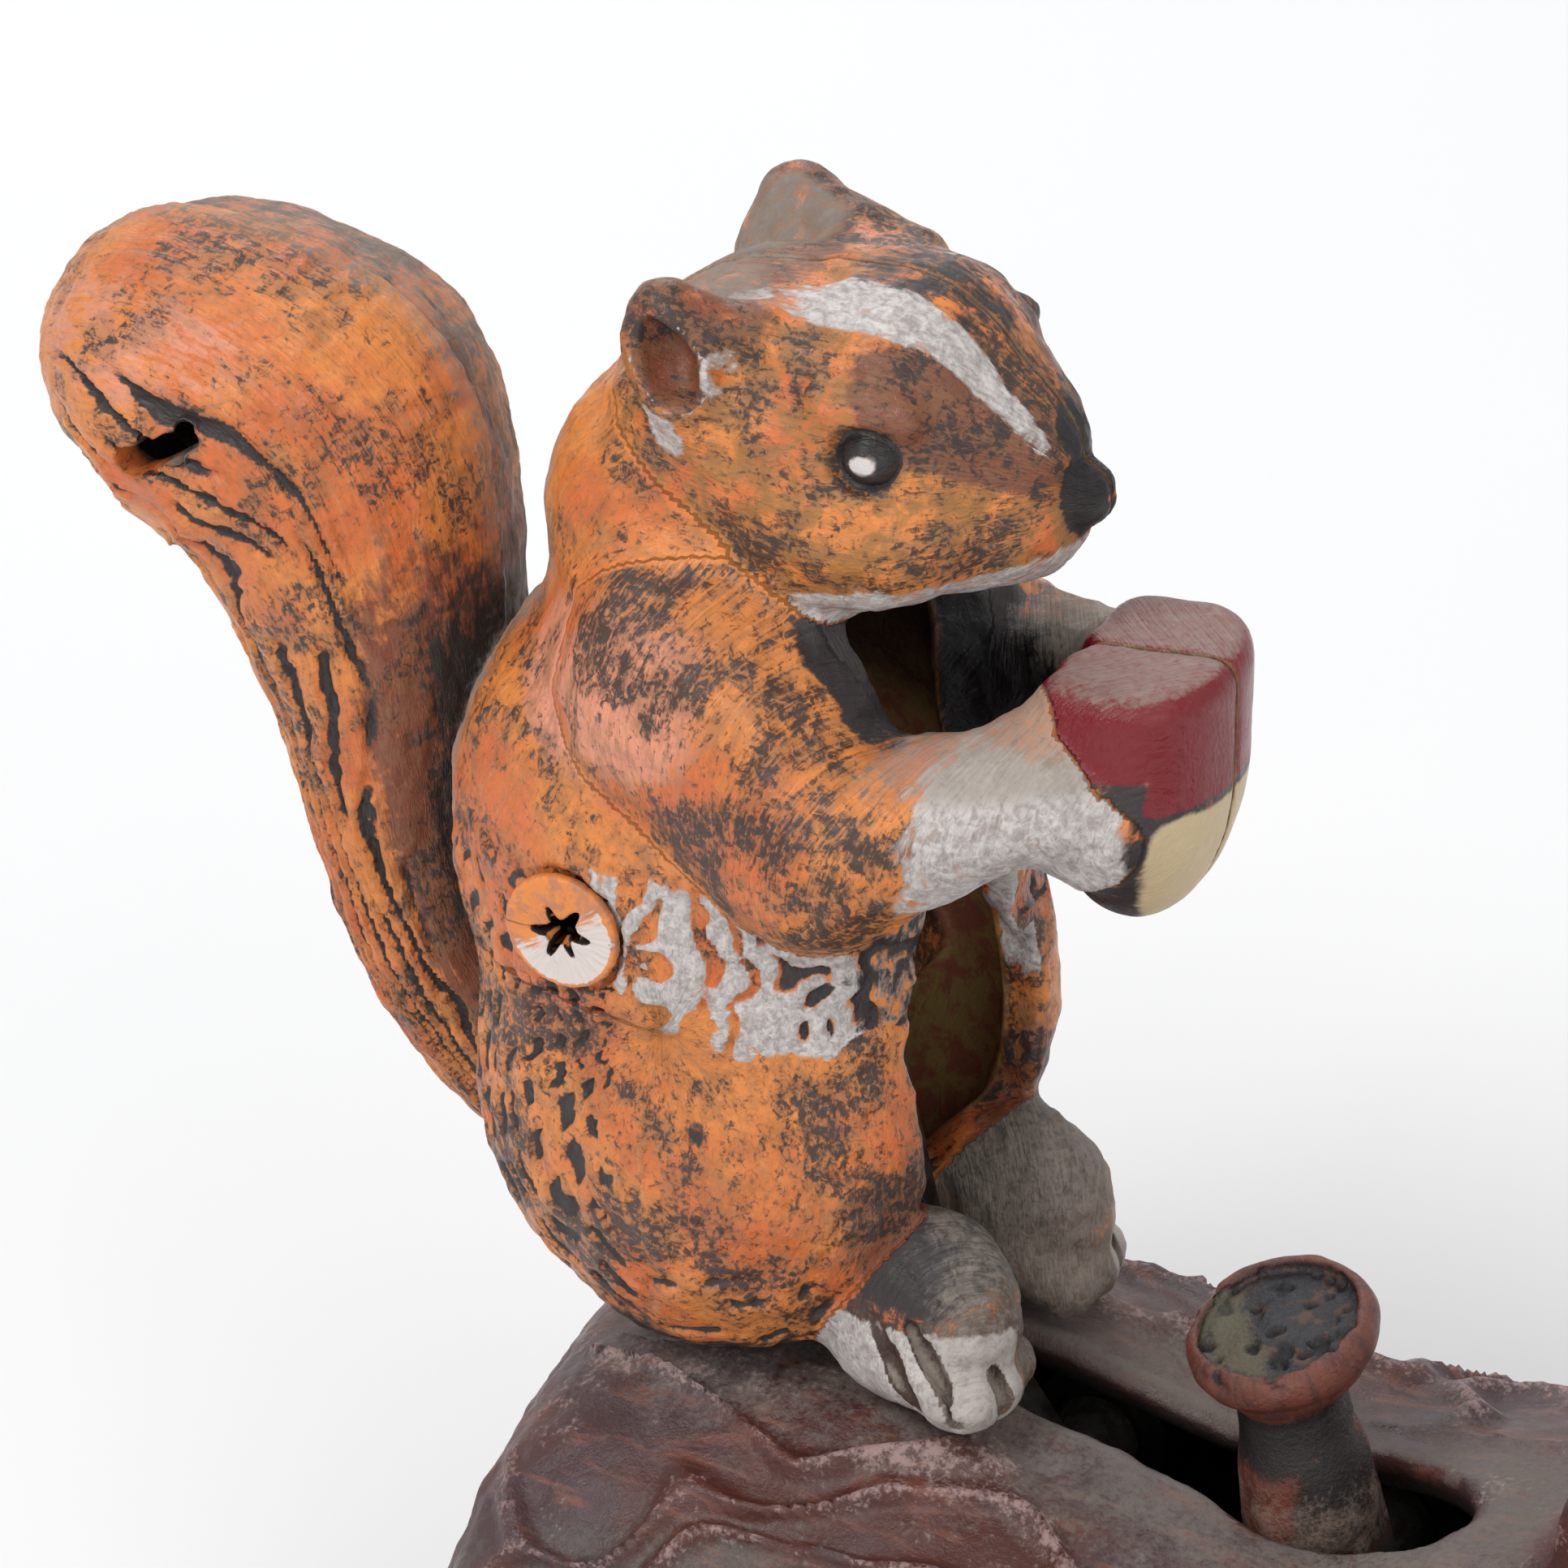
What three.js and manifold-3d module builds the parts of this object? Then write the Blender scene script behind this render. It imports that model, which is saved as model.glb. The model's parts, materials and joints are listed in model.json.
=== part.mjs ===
// A cast-iron figural nutcracker: a chipmunk that bows over a cupped stub on a hollow log.
//
// The chipmunk is two hollow half castings clamped on a tongue plate. The tongue goes down through a slot
// in the log to an axle. The stub is the anvil: it turns on its own axle, and two link bars join it to the
// tongue as a parallelogram, so figure and stub always turn by the same angle. A spring pulls both upright.
//
// Millimetres. +X is the way the chipmunk faces, +Y its left, +Z up. The origin is on the table, on the
// middle plane, halfway along the log.

import * as THREE from 'three';
import { mergeVertices } from 'three/addons/utils/BufferGeometryUtils.js';
import Module from 'manifold-3d';

const wasm = await Module();
wasm.setup();

// ---------------------------------------------------------------- driving dimensions

const RUNNING_GAP = 0.3;      // between faces of pieces that move on each other
const SHAFT_GAP = 0.2;        // radial, between a pin and its hole

const LOG = {
  length: 150,
  halfWidth: 38,
  halfHeight: 32,             // of the whole oval, whose centre stands at centreZ
  centreZ: 18,
  wall: 4,
  endRounding: 10,            // over this length the ends draw in
  endDrop: 0.07,              // by this share of the radius
};
const SLOT = { halfWidth: 3.75, backX: -66, frontX: -12 };
const STUB_HOLE = { x: -9.7, halfWidth: 6.6, halfLength: 11 };

// The figure's own frame starts between its toe tips, on the crown of the log.
const FIGURE = { x: -38, z: 50 };
const CASTING_WALL = 3.8;
const SEAM_GAP = 0.15;        // each half stops this far from the middle plane
const SOLE_GAP = 0.7;         // from the log up to the soles

const PLATE_THICKNESS = 5;    // tongue and stub arm
const AXLE_RADIUS = 2.4;
const AXLE_HEIGHT = 34;
const FIGURE_AXLE_X = -36;
const STUB_AXLE_X = -10;
const AXLE_BOSS = { radius: 6, face: 13 };      // face is its distance from the middle plane
const ARM = 15;               // from an axle down to its link pin
const PIN_EYE_RADIUS = 4.5;   // of the metal round a link pin
const AXLE_EYE_RADIUS = 6;
const LINK_PIN_RADIUS = 1.8;
const LINK_PIN_SLIP = 0.05;   // radial, where a link pin is held and doesn't turn
const LINK_BAR_THICKNESS = 2;
const SPRING = { coilRadius: 3, wireRadius: 0.6, turns: 6, eyeRadius: 1.1 };

// Places in the figure's frame, as [x, z].
const FIGURE_AXLE = [FIGURE_AXLE_X - FIGURE.x, AXLE_HEIGHT - FIGURE.z];
const BODY_RIVET = [-29.5, 40.7];
const LOCATING_PIN = [-17.7, 26];
const RIVET = { shank: 2.4, flange: 4.8, flangeHeight: 1.1, bore: 1.5, domeHeight: 2.2 };
const PIN = { radius: 1.5, halfLength: 18.6 };
const HIP_FACE = 18.2;        // the rivet's flanges sit on flats this far from the middle plane
const BEYOND = 120;           // past every face of the object, for the solids that cut

// ---------------------------------------------------------------- materials

const paint = (color, roughness = 0.55) =>
  new THREE.MeshStandardMaterial({ color, roughness, metalness: 0 });
const metal = (color, roughness = 0.45) =>
  new THREE.MeshStandardMaterial({ color, roughness, metalness: 0.9 });

const FUR_ORANGE = paint(0xc9702c);
const BARK_BROWN = paint(0x6b3d33, 0.6);
const STUB_BROWN = paint(0x6d3a2a, 0.5);
const BRIGHT_STEEL = metal(0x9a9a98, 0.35);
const DARK_IRON = metal(0x3a3937, 0.6);
const SPRING_STEEL = metal(0x77777a, 0.3);

// ---------------------------------------------------------------- solids from three.js geometry

// A closed solid of a closed geometry. Its vertices are merged, so that it is one surface.
function solid(geometry) {
  const bare = new THREE.BufferGeometry()
    .setAttribute('position', geometry.getAttribute('position'))
    .setIndex(geometry.getIndex());
  const merged = mergeVertices(bare, 1e-4);
  return new wasm.Manifold(new wasm.Mesh({
    numProp: 3,
    vertProperties: new Float32Array(merged.getAttribute('position').array),
    triVerts: new Uint32Array(merged.getIndex().array),
  }));
}

function meshOf(name, body, material) {
  const { numProp, numVert, vertProperties, triVerts } = body.getMesh();
  const positions = new Float32Array(numVert * 3);
  for (let i = 0; i < numVert; i++) {
    positions.set(vertProperties.subarray(i * numProp, i * numProp + 3), i * 3);
  }
  const geometry = new THREE.BufferGeometry();
  geometry.setAttribute('position', new THREE.BufferAttribute(positions, 3));
  geometry.setIndex(new THREE.BufferAttribute(new Uint32Array(triVerts), 1));
  geometry.computeVertexNormals();
  const mesh = new THREE.Mesh(geometry, material);
  mesh.name = name;
  return mesh;
}

const join = (bodies) => bodies.reduce((all, body) => all.add(body));

function box([x0, y0, z0], [x1, y1, z1]) {
  return solid(new THREE.BoxGeometry(x1 - x0, y1 - y0, z1 - z0)
    .translate((x0 + x1) / 2, (y0 + y1) / 2, (z0 + z1) / 2));
}

// Turns a geometry that lies along +Y from the origin so that it runs from a towards b.
function along(geometry, a, b) {
  const from = new THREE.Vector3(...a);
  const direction = new THREE.Vector3(...b).sub(from).normalize();
  const turn = new THREE.Quaternion().setFromUnitVectors(new THREE.Vector3(0, 1, 0), direction);
  return geometry.applyQuaternion(turn).translate(...a);
}

const distance = (a, b) => Math.hypot(b[0] - a[0], b[1] - a[1], b[2] - a[2]);

// A round bar from a to b, tapering from ra to rb.
function rod(a, b, ra, rb = ra, segments = 24) {
  const length = distance(a, b);
  return solid(along(new THREE.CylinderGeometry(rb, ra, length, segments).translate(0, length / 2, 0), a, b));
}

// A rod with round ends.
function limb(a, b, ra, rb, segments = 10) {
  const length = distance(a, b);
  const quarter = 2;
  const profile = [];
  for (let i = 0; i <= quarter; i++) {
    const angle = (i / quarter - 1) * Math.PI / 2;
    profile.push(new THREE.Vector2(i ? ra * Math.cos(angle) : 0, ra * Math.sin(angle)));
  }
  for (let i = 0; i <= quarter; i++) {
    const angle = i / quarter * Math.PI / 2;
    profile.push(new THREE.Vector2(i < quarter ? rb * Math.cos(angle) : 0, length + rb * Math.sin(angle)));
  }
  return solid(along(new THREE.LatheGeometry(profile, segments), a, b));
}

// pitch turns the ellipsoid about its own Y axis: a positive pitch lowers its front.
function ellipsoid(centre, radii, pitch = 0, segments = 14) {
  return solid(new THREE.SphereGeometry(1, segments, Math.ceil(segments * 0.6))
    .scale(...radii)
    .rotateY(THREE.MathUtils.degToRad(pitch))
    .translate(...centre));
}

// A flat plate in the XZ plane, centred on y.
function plate(shape, thickness, y = 0, curveSegments = 8) {
  return solid(new THREE.ExtrudeGeometry(shape, { depth: thickness, bevelEnabled: false, curveSegments })
    .rotateX(Math.PI / 2)
    .translate(0, y + thickness / 2, 0));
}

// The outline of a bar with a round eye at each end.
function barShape(p, q, rp, rq) {
  const heading = Math.atan2(q[1] - p[1], q[0] - p[0]);
  const spread = Math.acos((rp - rq) / Math.hypot(q[0] - p[0], q[1] - p[1]));
  const shape = new THREE.Shape();
  shape.absarc(p[0], p[1], rp, heading + spread, heading - spread + 2 * Math.PI, false);
  shape.absarc(q[0], q[1], rq, heading - spread, heading + spread, false);
  shape.closePath();
  return shape;
}

// A pin or hole across the object at [x, z], from y0 to y1.
const crossPin = ([x, z], radius, y0, y1, segments = 20) =>
  rod([x, y0, z], [x, y1, z], radius, radius, segments);

// A round hole across the whole object at [x, z].
const crossHole = (at, radius, segments = 20) => crossPin(at, radius, -BEYOND, BEYOND, segments);

// A pin on one side only, between two distances from the middle plane.
const sidePin = (at, radius, side, near, far, segments = 20) =>
  crossPin(at, radius, Math.min(side * near, side * far), Math.max(side * near, side * far), segments);

// ---------------------------------------------------------------- log

const hump = (x, centre, width) => Math.exp(-(((x - centre) / width) ** 2));

// How far the log's back falls along its length: low at both ends, and dipping at the stub.
const backline = (x) => -5 * hump(x, -78, 14) - 6 * hump(x, -13, 18) - 5 * hump(x, 80, 20);

// Shallow lengthwise folds of bark, as a share of the radius.
const bark = (angle, x) => 0.016 * Math.sin(5 * angle + x / 11) + 0.012 * Math.sin(9 * angle - x / 7);

// The log as a solid, inset all round. The inner one, for the hollow, has no bark.
function logSolid(inset) {
  const around = inset ? 16 : 24;
  const lengthwise = inset ? 6 : 12;
  const geometry = new THREE.CylinderGeometry(1, 1, LOG.length - 2 * inset, around, lengthwise)
    .rotateZ(-Math.PI / 2);
  const place = geometry.getAttribute('position');
  const end = LOG.length / 2 - inset;
  for (let i = 0; i < place.count; i++) {
    const x = place.getX(i);
    const radius = Math.hypot(place.getY(i), place.getZ(i));
    const angle = Math.atan2(place.getZ(i), place.getY(i));
    const relief = inset ? 0 : bark(angle, x);
    const intoEnd = Math.max(0, (Math.abs(x) - end) / LOG.endRounding + 1);
    const roundedEnd = 1 - LOG.endDrop * intoEnd ** 2;
    const grow = radius * roundedEnd * (1 + relief);
    const lift = backline(x) * Math.max(0, Math.sin(angle)) * radius;
    place.setY(i, (LOG.halfWidth - inset) * grow * Math.cos(angle));
    place.setZ(i, LOG.centreZ + (LOG.halfHeight - inset) * grow * Math.sin(angle) + lift);
  }
  const bottom = inset ? -LOG.wall - 1 : 0;
  return solid(geometry).subtract(box([-BEYOND, -BEYOND, -BEYOND], [BEYOND, BEYOND, bottom]));
}

const STUMP = { foot: [21, -3, 30], top: [23, -6, 61], footRadius: 15, topRadius: 10 };
const SCREW_PLACES = [[-63, 'rear'], [52, 'front']];
const SCREW = { radius: 1.7, headRadius: 3.6, headHeight: 1.7, length: 12, endRoom: 3, bossRadius: 4.6 };
const BASE_PLATE_THICKNESS = 2;
const MID_HEIGHT = 25;        // the slot and the stub hole are cut from here up
const AXLE_PLACES = [[FIGURE_AXLE_X, AXLE_HEIGHT], [STUB_AXLE_X, AXLE_HEIGHT]];

function logCasting() {
  const { foot, top, footRadius, topRadius } = STUMP;
  const hollow = logSolid(LOG.wall);
  const outer = logSolid(0).add(rod(foot, top, footRadius, topRadius, 18));
  const screwBosses = SCREW_PLACES.map(([x]) => {
    const floor = BASE_PLATE_THICKNESS + RUNNING_GAP;
    return rod([x, 0, floor], [x, 0, BEYOND], SCREW.bossRadius, SCREW.bossRadius, 14);
  });
  const axleBosses = AXLE_PLACES.flatMap((at) =>
    [-1, 1].map((side) => sidePin(at, AXLE_BOSS.radius, side, AXLE_BOSS.face, BEYOND, 16)));
  const bosses = join([...screwBosses, ...axleBosses]).intersect(logSolid(1));
  const slot = box([SLOT.backX, -SLOT.halfWidth, MID_HEIGHT], [SLOT.frontX, SLOT.halfWidth, BEYOND]);
  const hole = solid(new THREE.CylinderGeometry(STUB_HOLE.halfWidth, STUB_HOLE.halfWidth, BEYOND, 20)
    .rotateX(Math.PI / 2)
    .scale(STUB_HOLE.halfLength / STUB_HOLE.halfWidth, 1, 1)
    .translate(STUB_HOLE.x, 0, MID_HEIGHT + BEYOND / 2));
  let casting = outer.subtract(hollow).add(bosses).subtract(slot).subtract(hole);
  for (const at of AXLE_PLACES) {
    casting = casting.subtract(crossHole(at, AXLE_RADIUS + SHAFT_GAP, 16));
  }
  for (const [x] of SCREW_PLACES) {
    const deep = SCREW.length + SCREW.endRoom;
    casting = casting.subtract(rod([x, 0, 0], [x, 0, deep], SCREW.radius + SHAFT_GAP));
  }
  return casting;
}

const POST = { x: 24, radius: 2.2, shankRadius: 1.6, height: 26 };

function basePlate() {
  const slab = box([-BEYOND, -BEYOND, 0], [BEYOND, BEYOND, BASE_PLATE_THICKNESS]);
  let body = logSolid(LOG.wall + RUNNING_GAP).intersect(slab);
  for (const [x] of SCREW_PLACES) {
    const below = [x, 0, -0.1];
    const above = [x, 0, BASE_PLATE_THICKNESS + 0.1];
    body = body.subtract(rod(below, above, SCREW.headRadius + SHAFT_GAP, SCREW.radius));
  }
  return body.subtract(rod([POST.x, 0, -1], [POST.x, 0, 3], POST.shankRadius + SHAFT_GAP));
}

// A countersunk wood-slot screw, its head flush with the table side of the base plate.
function baseScrew(x) {
  const head = rod([x, 0, 0.15], [x, 0, SCREW.headHeight], SCREW.headRadius - 0.1, SCREW.radius);
  const shank = rod([x, 0, SCREW.headHeight - 0.2], [x, 0, SCREW.length], SCREW.radius);
  return head.add(shank).subtract(box([x - 5, -0.5, -1], [x + 5, 0.5, 0.8]));
}

// The axles end just inside the bark on both sides.
const axle = (x, halfLength) => crossPin([x, AXLE_HEIGHT], AXLE_RADIUS, -halfLength, halfLength, 16);

// A tube on the axle that keeps the plate in the middle of the slot.
function axleSpacer(x, side) {
  const inner = PLATE_THICKNESS / 2 + RUNNING_GAP;
  const outer = AXLE_BOSS.face - RUNNING_GAP;
  const at = [x, AXLE_HEIGHT];
  return sidePin(at, 3.7, side, inner, outer)
    .subtract(crossHole(at, AXLE_RADIUS + SHAFT_GAP, 16));
}

// A hole along X for an end of the spring.
const springEye = (x0, x1, z) => rod([x0, 0, z], [x1, 0, z], SPRING.eyeRadius, SPRING.eyeRadius, 12);

function springPost() {
  const foot = BASE_PLATE_THICKNESS + 0.05;
  return rod([POST.x, 0, 0.1], [POST.x, 0, foot + 1], POST.shankRadius)
    .add(rod([POST.x, 0, foot], [POST.x, 0, POST.height], POST.radius, POST.radius, 20))
    .subtract(springEye(POST.x - 5, POST.x + 5, AXLE_HEIGHT - ARM));
}

// ---------------------------------------------------------------- chipmunk

// Body masses in the figure's frame: [centre, radii, pitch]. y is the distance from the middle plane.
const TRUNK = {
  haunch: [[-22.5, 9.5, 22], [19.3, 10.6, 21.5], 0],
  rump: [[-27, 2, 22], [14.5, 14, 18.5], 0],
  belly: [[-24, 6, 41], [21, 13, 22], 0],
  back: [[-28, 0, 45], [17.5, 18, 21], 0],
  chest: [[-22.5, 4, 58], [15.5, 12, 14], 0],
  neck: [[-24, 0, 69], [13, 12.5, 12], 0],
};
const HEAD = {
  cranium: [[-17, 0, 80.5], [15.5, 13, 12.2], 0],
  cheek: [[-11, 5, 77], [10.5, 8.6, 8.6], 0],
  brow: [[-9, 0, 85.5], [9.5, 11, 8.4], 12],
  bridge: [[-1, 0, 81.5], [7, 6.5, 5.5], 25],
  muzzle: [[-1.5, 0, 77.3], [8.6, 7.8, 7], 12],
  nose: [[6, 0, 79.2], [3, 2.9, 3.4], 10],
};
const EAR = {
  shell: [[-24.8, 11.3, 86.3], [5, 4, 7.6], -8],
  scoop: [[-23, 14.4, 86], [3.6, 3.4, 5.2], -8],
};
const SHOULDER = [-21, 12.2, 61];
const ELBOW = [-9.5, 15, 51.5];
const WRIST = [7.5, 8.6, 57.5];
const PAW = [[11, 8.2, 58], [6.2, 4.4, 5.4], 0];
const FOOT = [[-4.5, 8.8, 8], [9, 5.6, 8.8], 20];
const TOE = { radius: 2.3, pitch: 3.1 };
const NUT = [[11.3, 0, 56], [8.6, 10.8, 12.6], 12];
const NUT_TOP = 66.2;
const OPEN_FRONT = [[-18, -9.5, 12], [2, 9.5, 68]];   // opposite corners of the opening in the trunk
const FLAW = { from: [-71.5, 67.2], to: [-67.2, 68.9], nearY: -5, farY: -19 };

// The tail's middle line as [x, z] from the root to the tip, and its size at evenly spaced places along it.
const TAIL_LINE = [
  [-34, 13], [-46.5, 21.5], [-51.5, 34], [-53.5, 47],
  [-56.5, 58.5], [-61.5, 68.5], [-71, 73.5], [-84.5, 71.5],
];
const TAIL_DEPTH = [7, 6.5, 6.2, 8.8, 12.3, 15.2, 13.5, 12.5];
const TAIL_HALF_WIDTH = [8, 7.5, 9, 11.5, 13.8, 15.5, 15.5, 13];

// The hollow inside a body mass: a wall thinner all round, and open across the middle plane.
function shrink([[x, y, z], [rx, ry, rz], pitch]) {
  return [[x, y / 2, z], [rx - CASTING_WALL, ry + y / 2 - CASTING_WALL, rz - CASTING_WALL], pitch];
}

const sided = ([x, y, z], side) => [x, y * side, z];
const mass = ([centre, radii, pitch], side, segments = 11) =>
  ellipsoid(sided(centre, side), radii, pitch, segments);

// The value at t, 0 to 1, of a list of evenly spaced values.
function sample(list, t) {
  const place = t * (list.length - 1);
  const i = Math.min(Math.floor(place), list.length - 2);
  return THREE.MathUtils.lerp(list[i], list[i + 1], place - i);
}

// The tail: a sphere drawn out along a curve in the middle plane, with its own size at each place.
function tail(inset) {
  const line = new THREE.CatmullRomCurve3(TAIL_LINE.map(([x, z]) => new THREE.Vector3(x, 0, z)));
  const geometry = new THREE.SphereGeometry(1, inset ? 8 : 12, inset ? 8 : 14);
  const place = geometry.getAttribute('position');
  for (let i = 0; i < place.count; i++) {
    const height = THREE.MathUtils.clamp(place.getY(i), -1, 1);
    const t = 1 - Math.acos(height) / Math.PI;
    const ring = Math.hypot(place.getX(i), place.getZ(i));
    const fullness = ring ? 1 / Math.sqrt(ring) : 0;
    const centre = line.getPoint(t);
    const heading = line.getTangent(t);
    const depth = Math.max(0.5, sample(TAIL_DEPTH, t) - inset) * place.getX(i) * fullness;
    const width = Math.max(0.5, sample(TAIL_HALF_WIDTH, t) - inset) * place.getZ(i) * fullness;
    place.setXYZ(i, centre.x - heading.z * depth, width, centre.z + heading.x * depth);
  }
  return solid(geometry);
}

function ear(side) {
  return mass(EAR.shell, side, 10).subtract(mass(EAR.scoop, side, 8));
}

function foot(side) {
  const toes = [-1, 0, 1].map((n) => {
    const y = FOOT[0][1] + n * TOE.pitch;
    const knuckle = sided([-1, y, 4.2], side);
    const tip = sided([2.6 - Math.abs(n), y, 2.6], side);
    return limb(knuckle, tip, TOE.radius, TOE.radius, 6);
  });
  return join([mass(FOOT, side, 10), ...toes]);
}

// The nut in the paws, flat on top where its cap is.
function nut() {
  return mass(NUT, 1, 12).subtract(box([-BEYOND, -BEYOND, NUT_TOP], [BEYOND, BEYOND, BEYOND]));
}

// A small ragged hole that the mould left in the right half of the tail.
const castingFlaw = () =>
  plate(barShape(FLAW.from, FLAW.to, 1.3, 1), FLAW.nearY - FLAW.farY, (FLAW.nearY + FLAW.farY) / 2, 4);

// One half of the chipmunk, from the ear to the sole, with its half of the tail and of the nut.
function figureHalf(side) {
  const trunkMasses = Object.values(TRUNK).map((m) => mass(m, side));
  const headMasses = Object.values(HEAD).map((m) => mass(m, side));
  const hollow = join([
    ...Object.values(TRUNK).map((m) => mass(shrink(m), side, 8)),
    mass(shrink(HEAD.cranium), side, 8),
    tail(CASTING_WALL),
  ]);
  const trunk = join(trunkMasses).subtract(hollow).subtract(box(...OPEN_FRONT));
  const rest = join([
    ...headMasses,
    ear(side),
    limb(sided(SHOULDER, side), sided(ELBOW, side), 9.6, 7.6),
    limb(sided(ELBOW, side), sided(WRIST, side), 7.2, 5.2),
    mass(PAW, side, 8),
    foot(side),
    nut(),
    tail(0),
  ]).subtract(hollow);

  const bossFace = PLATE_THICKNESS / 2 + RUNNING_GAP;
  const bosses = sidePin(BODY_RIVET, 5.5, side, bossFace, 16, 16)
    .add(sidePin(LOCATING_PIN, 4, side, bossFace, 16, 14));
  const throat = box([-28, -bossFace, -BEYOND], [10, bossFace, 20]);
  const own = side > 0
    ? box([-BEYOND, SEAM_GAP, -BEYOND], [BEYOND, BEYOND, BEYOND])
    : box([-BEYOND, -BEYOND, -BEYOND], [BEYOND, -SEAM_GAP, BEYOND]);
  const sole = logSolid(0).translate(-FIGURE.x, 0, SOLE_GAP - FIGURE.z);
  const spotFace = sidePin(BODY_RIVET, RIVET.flange + 0.5, side, HIP_FACE, BEYOND);

  const half = join([trunk, rest, bosses])
    .intersect(own)
    .subtract(sole)
    .subtract(throat)
    .subtract(spotFace)
    .subtract(crossHole(BODY_RIVET, RIVET.shank + SHAFT_GAP))
    .subtract(crossHole(LOCATING_PIN, PIN.radius + SHAFT_GAP));
  return side < 0 ? half.subtract(castingFlaw()) : half;
}

// A tubular rivet. Its far head is domed, and its near end is rolled out flat and split in six like a star.
function bodyRivet() {
  const start = HIP_FACE + 0.1;
  const end = start + RIVET.flangeHeight;
  const [x, z] = BODY_RIVET;
  const star = new THREE.Shape();
  for (let i = 0; i < 12; i++) {
    const reach = i % 2 ? 0.9 : 2.1;
    const angle = i / 12 * 2 * Math.PI;
    star[i ? 'lineTo' : 'moveTo'](x + reach * Math.cos(angle), z + reach * Math.sin(angle));
  }
  star.closePath();
  const dome = ellipsoid([x, start, z], [RIVET.flange, RIVET.domeHeight, RIVET.flange], 0, 16)
    .intersect(box([-50, start, 20], [0, start + 5, 60]));
  return crossPin(BODY_RIVET, RIVET.shank, -end, start + 0.5)
    .add(crossPin(BODY_RIVET, RIVET.flange, -end, -start))
    .add(dome)
    .subtract(crossPin(BODY_RIVET, RIVET.bore, -end + 1, start - 6))
    .subtract(plate(star, 4, -end));
}

const locatingPin = () => crossPin(LOCATING_PIN, PIN.radius, -PIN.halfLength, PIN.halfLength, 16);

// The dog-legged plate that carries the figure: rivet eye, pin eye, ankle, axle eye and link eye.
function tongue() {
  const ankle = [-12, 4];
  const linkEye = [FIGURE_AXLE[0], FIGURE_AXLE[1] - ARM];
  const bars = [
    barShape(BODY_RIVET, LOCATING_PIN, 6.5, 6),
    barShape(LOCATING_PIN, ankle, 6, 5.5),
    barShape(ankle, FIGURE_AXLE, 5.5, AXLE_EYE_RADIUS),
    barShape(FIGURE_AXLE, linkEye, AXLE_EYE_RADIUS, PIN_EYE_RADIUS),
  ].map((shape) => plate(shape, PLATE_THICKNESS));
  return join(bars)
    .subtract(crossHole(BODY_RIVET, RIVET.shank + SHAFT_GAP))
    .subtract(crossHole(LOCATING_PIN, PIN.radius + SHAFT_GAP))
    .subtract(crossHole(FIGURE_AXLE, AXLE_RADIUS + SHAFT_GAP))
    .subtract(crossHole(linkEye, LINK_PIN_RADIUS + LINK_PIN_SLIP));
}

// ---------------------------------------------------------------- stub and linkage

// The stub's frame starts at its axle. It leans back towards the figure, and its head also tips to the right.
const STUB = {
  lean: 12,                   // degrees
  tip: 14,
  reach: 26.5,                // from the axle to the middle of the head's face
  headRadius: 7.7,
  headHeight: 5.8,
  headTaper: 1.3,
  rim: 1.3,
  cupDepth: 0.8,
  neckRadius: 4.6,
  rootRadius: 5.4,
};

function stub() {
  const lean = THREE.MathUtils.degToRad(STUB.lean);
  const tip = THREE.MathUtils.degToRad(STUB.tip);
  const up = (reach) => [-reach * Math.sin(lean), 0, reach * Math.cos(lean)];
  const top = new THREE.Vector3(...up(STUB.reach));
  const faceNormal = new THREE.Vector3(-Math.sin(lean), -Math.sin(tip), Math.cos(lean) * Math.cos(tip))
    .normalize();
  const above = (height) => top.clone().addScaledVector(faceNormal, height).toArray();
  const cupRadius = STUB.headRadius - STUB.rim;
  const head = rod(above(-STUB.headHeight), above(0), STUB.headRadius - STUB.headTaper, STUB.headRadius, 22);
  const cup = rod(above(-STUB.cupDepth), above(2), cupRadius - 0.1, cupRadius + 0.1, 22);
  const shaft = rod(up(7.5), up(STUB.reach - 3), STUB.rootRadius, STUB.neckRadius, 16);
  const [shinX, , shinZ] = up(10);
  const arm = join([
    barShape([0, 0], [0, -ARM], AXLE_EYE_RADIUS, PIN_EYE_RADIUS),
    barShape([0, -ARM], [6.5, -ARM], 4, 3),
    barShape([0, 0], [shinX, shinZ], AXLE_EYE_RADIUS, 5),
  ].map((shape) => plate(shape, PLATE_THICKNESS)));
  return join([head, shaft, arm])
    .subtract(cup)
    .subtract(crossHole([0, 0], AXLE_RADIUS + SHAFT_GAP))
    .subtract(crossHole([0, -ARM], LINK_PIN_RADIUS + LINK_PIN_SLIP))
    .subtract(springEye(4.5, 12, -ARM));
}

const LINK_LENGTH = STUB_AXLE_X - FIGURE_AXLE_X;
const LINK_FACE = PLATE_THICKNESS / 2 + RUNNING_GAP;

// The link's frame starts at its pin on the tongue.
function linkBar(side) {
  const outline = barShape([0, 0], [LINK_LENGTH, 0], PIN_EYE_RADIUS, PIN_EYE_RADIUS);
  return plate(outline, LINK_BAR_THICKNESS, side * (LINK_FACE + LINK_BAR_THICKNESS / 2))
    .subtract(crossHole([0, 0], LINK_PIN_RADIUS + SHAFT_GAP))
    .subtract(crossHole([LINK_LENGTH, 0], LINK_PIN_RADIUS + SHAFT_GAP));
}

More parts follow.
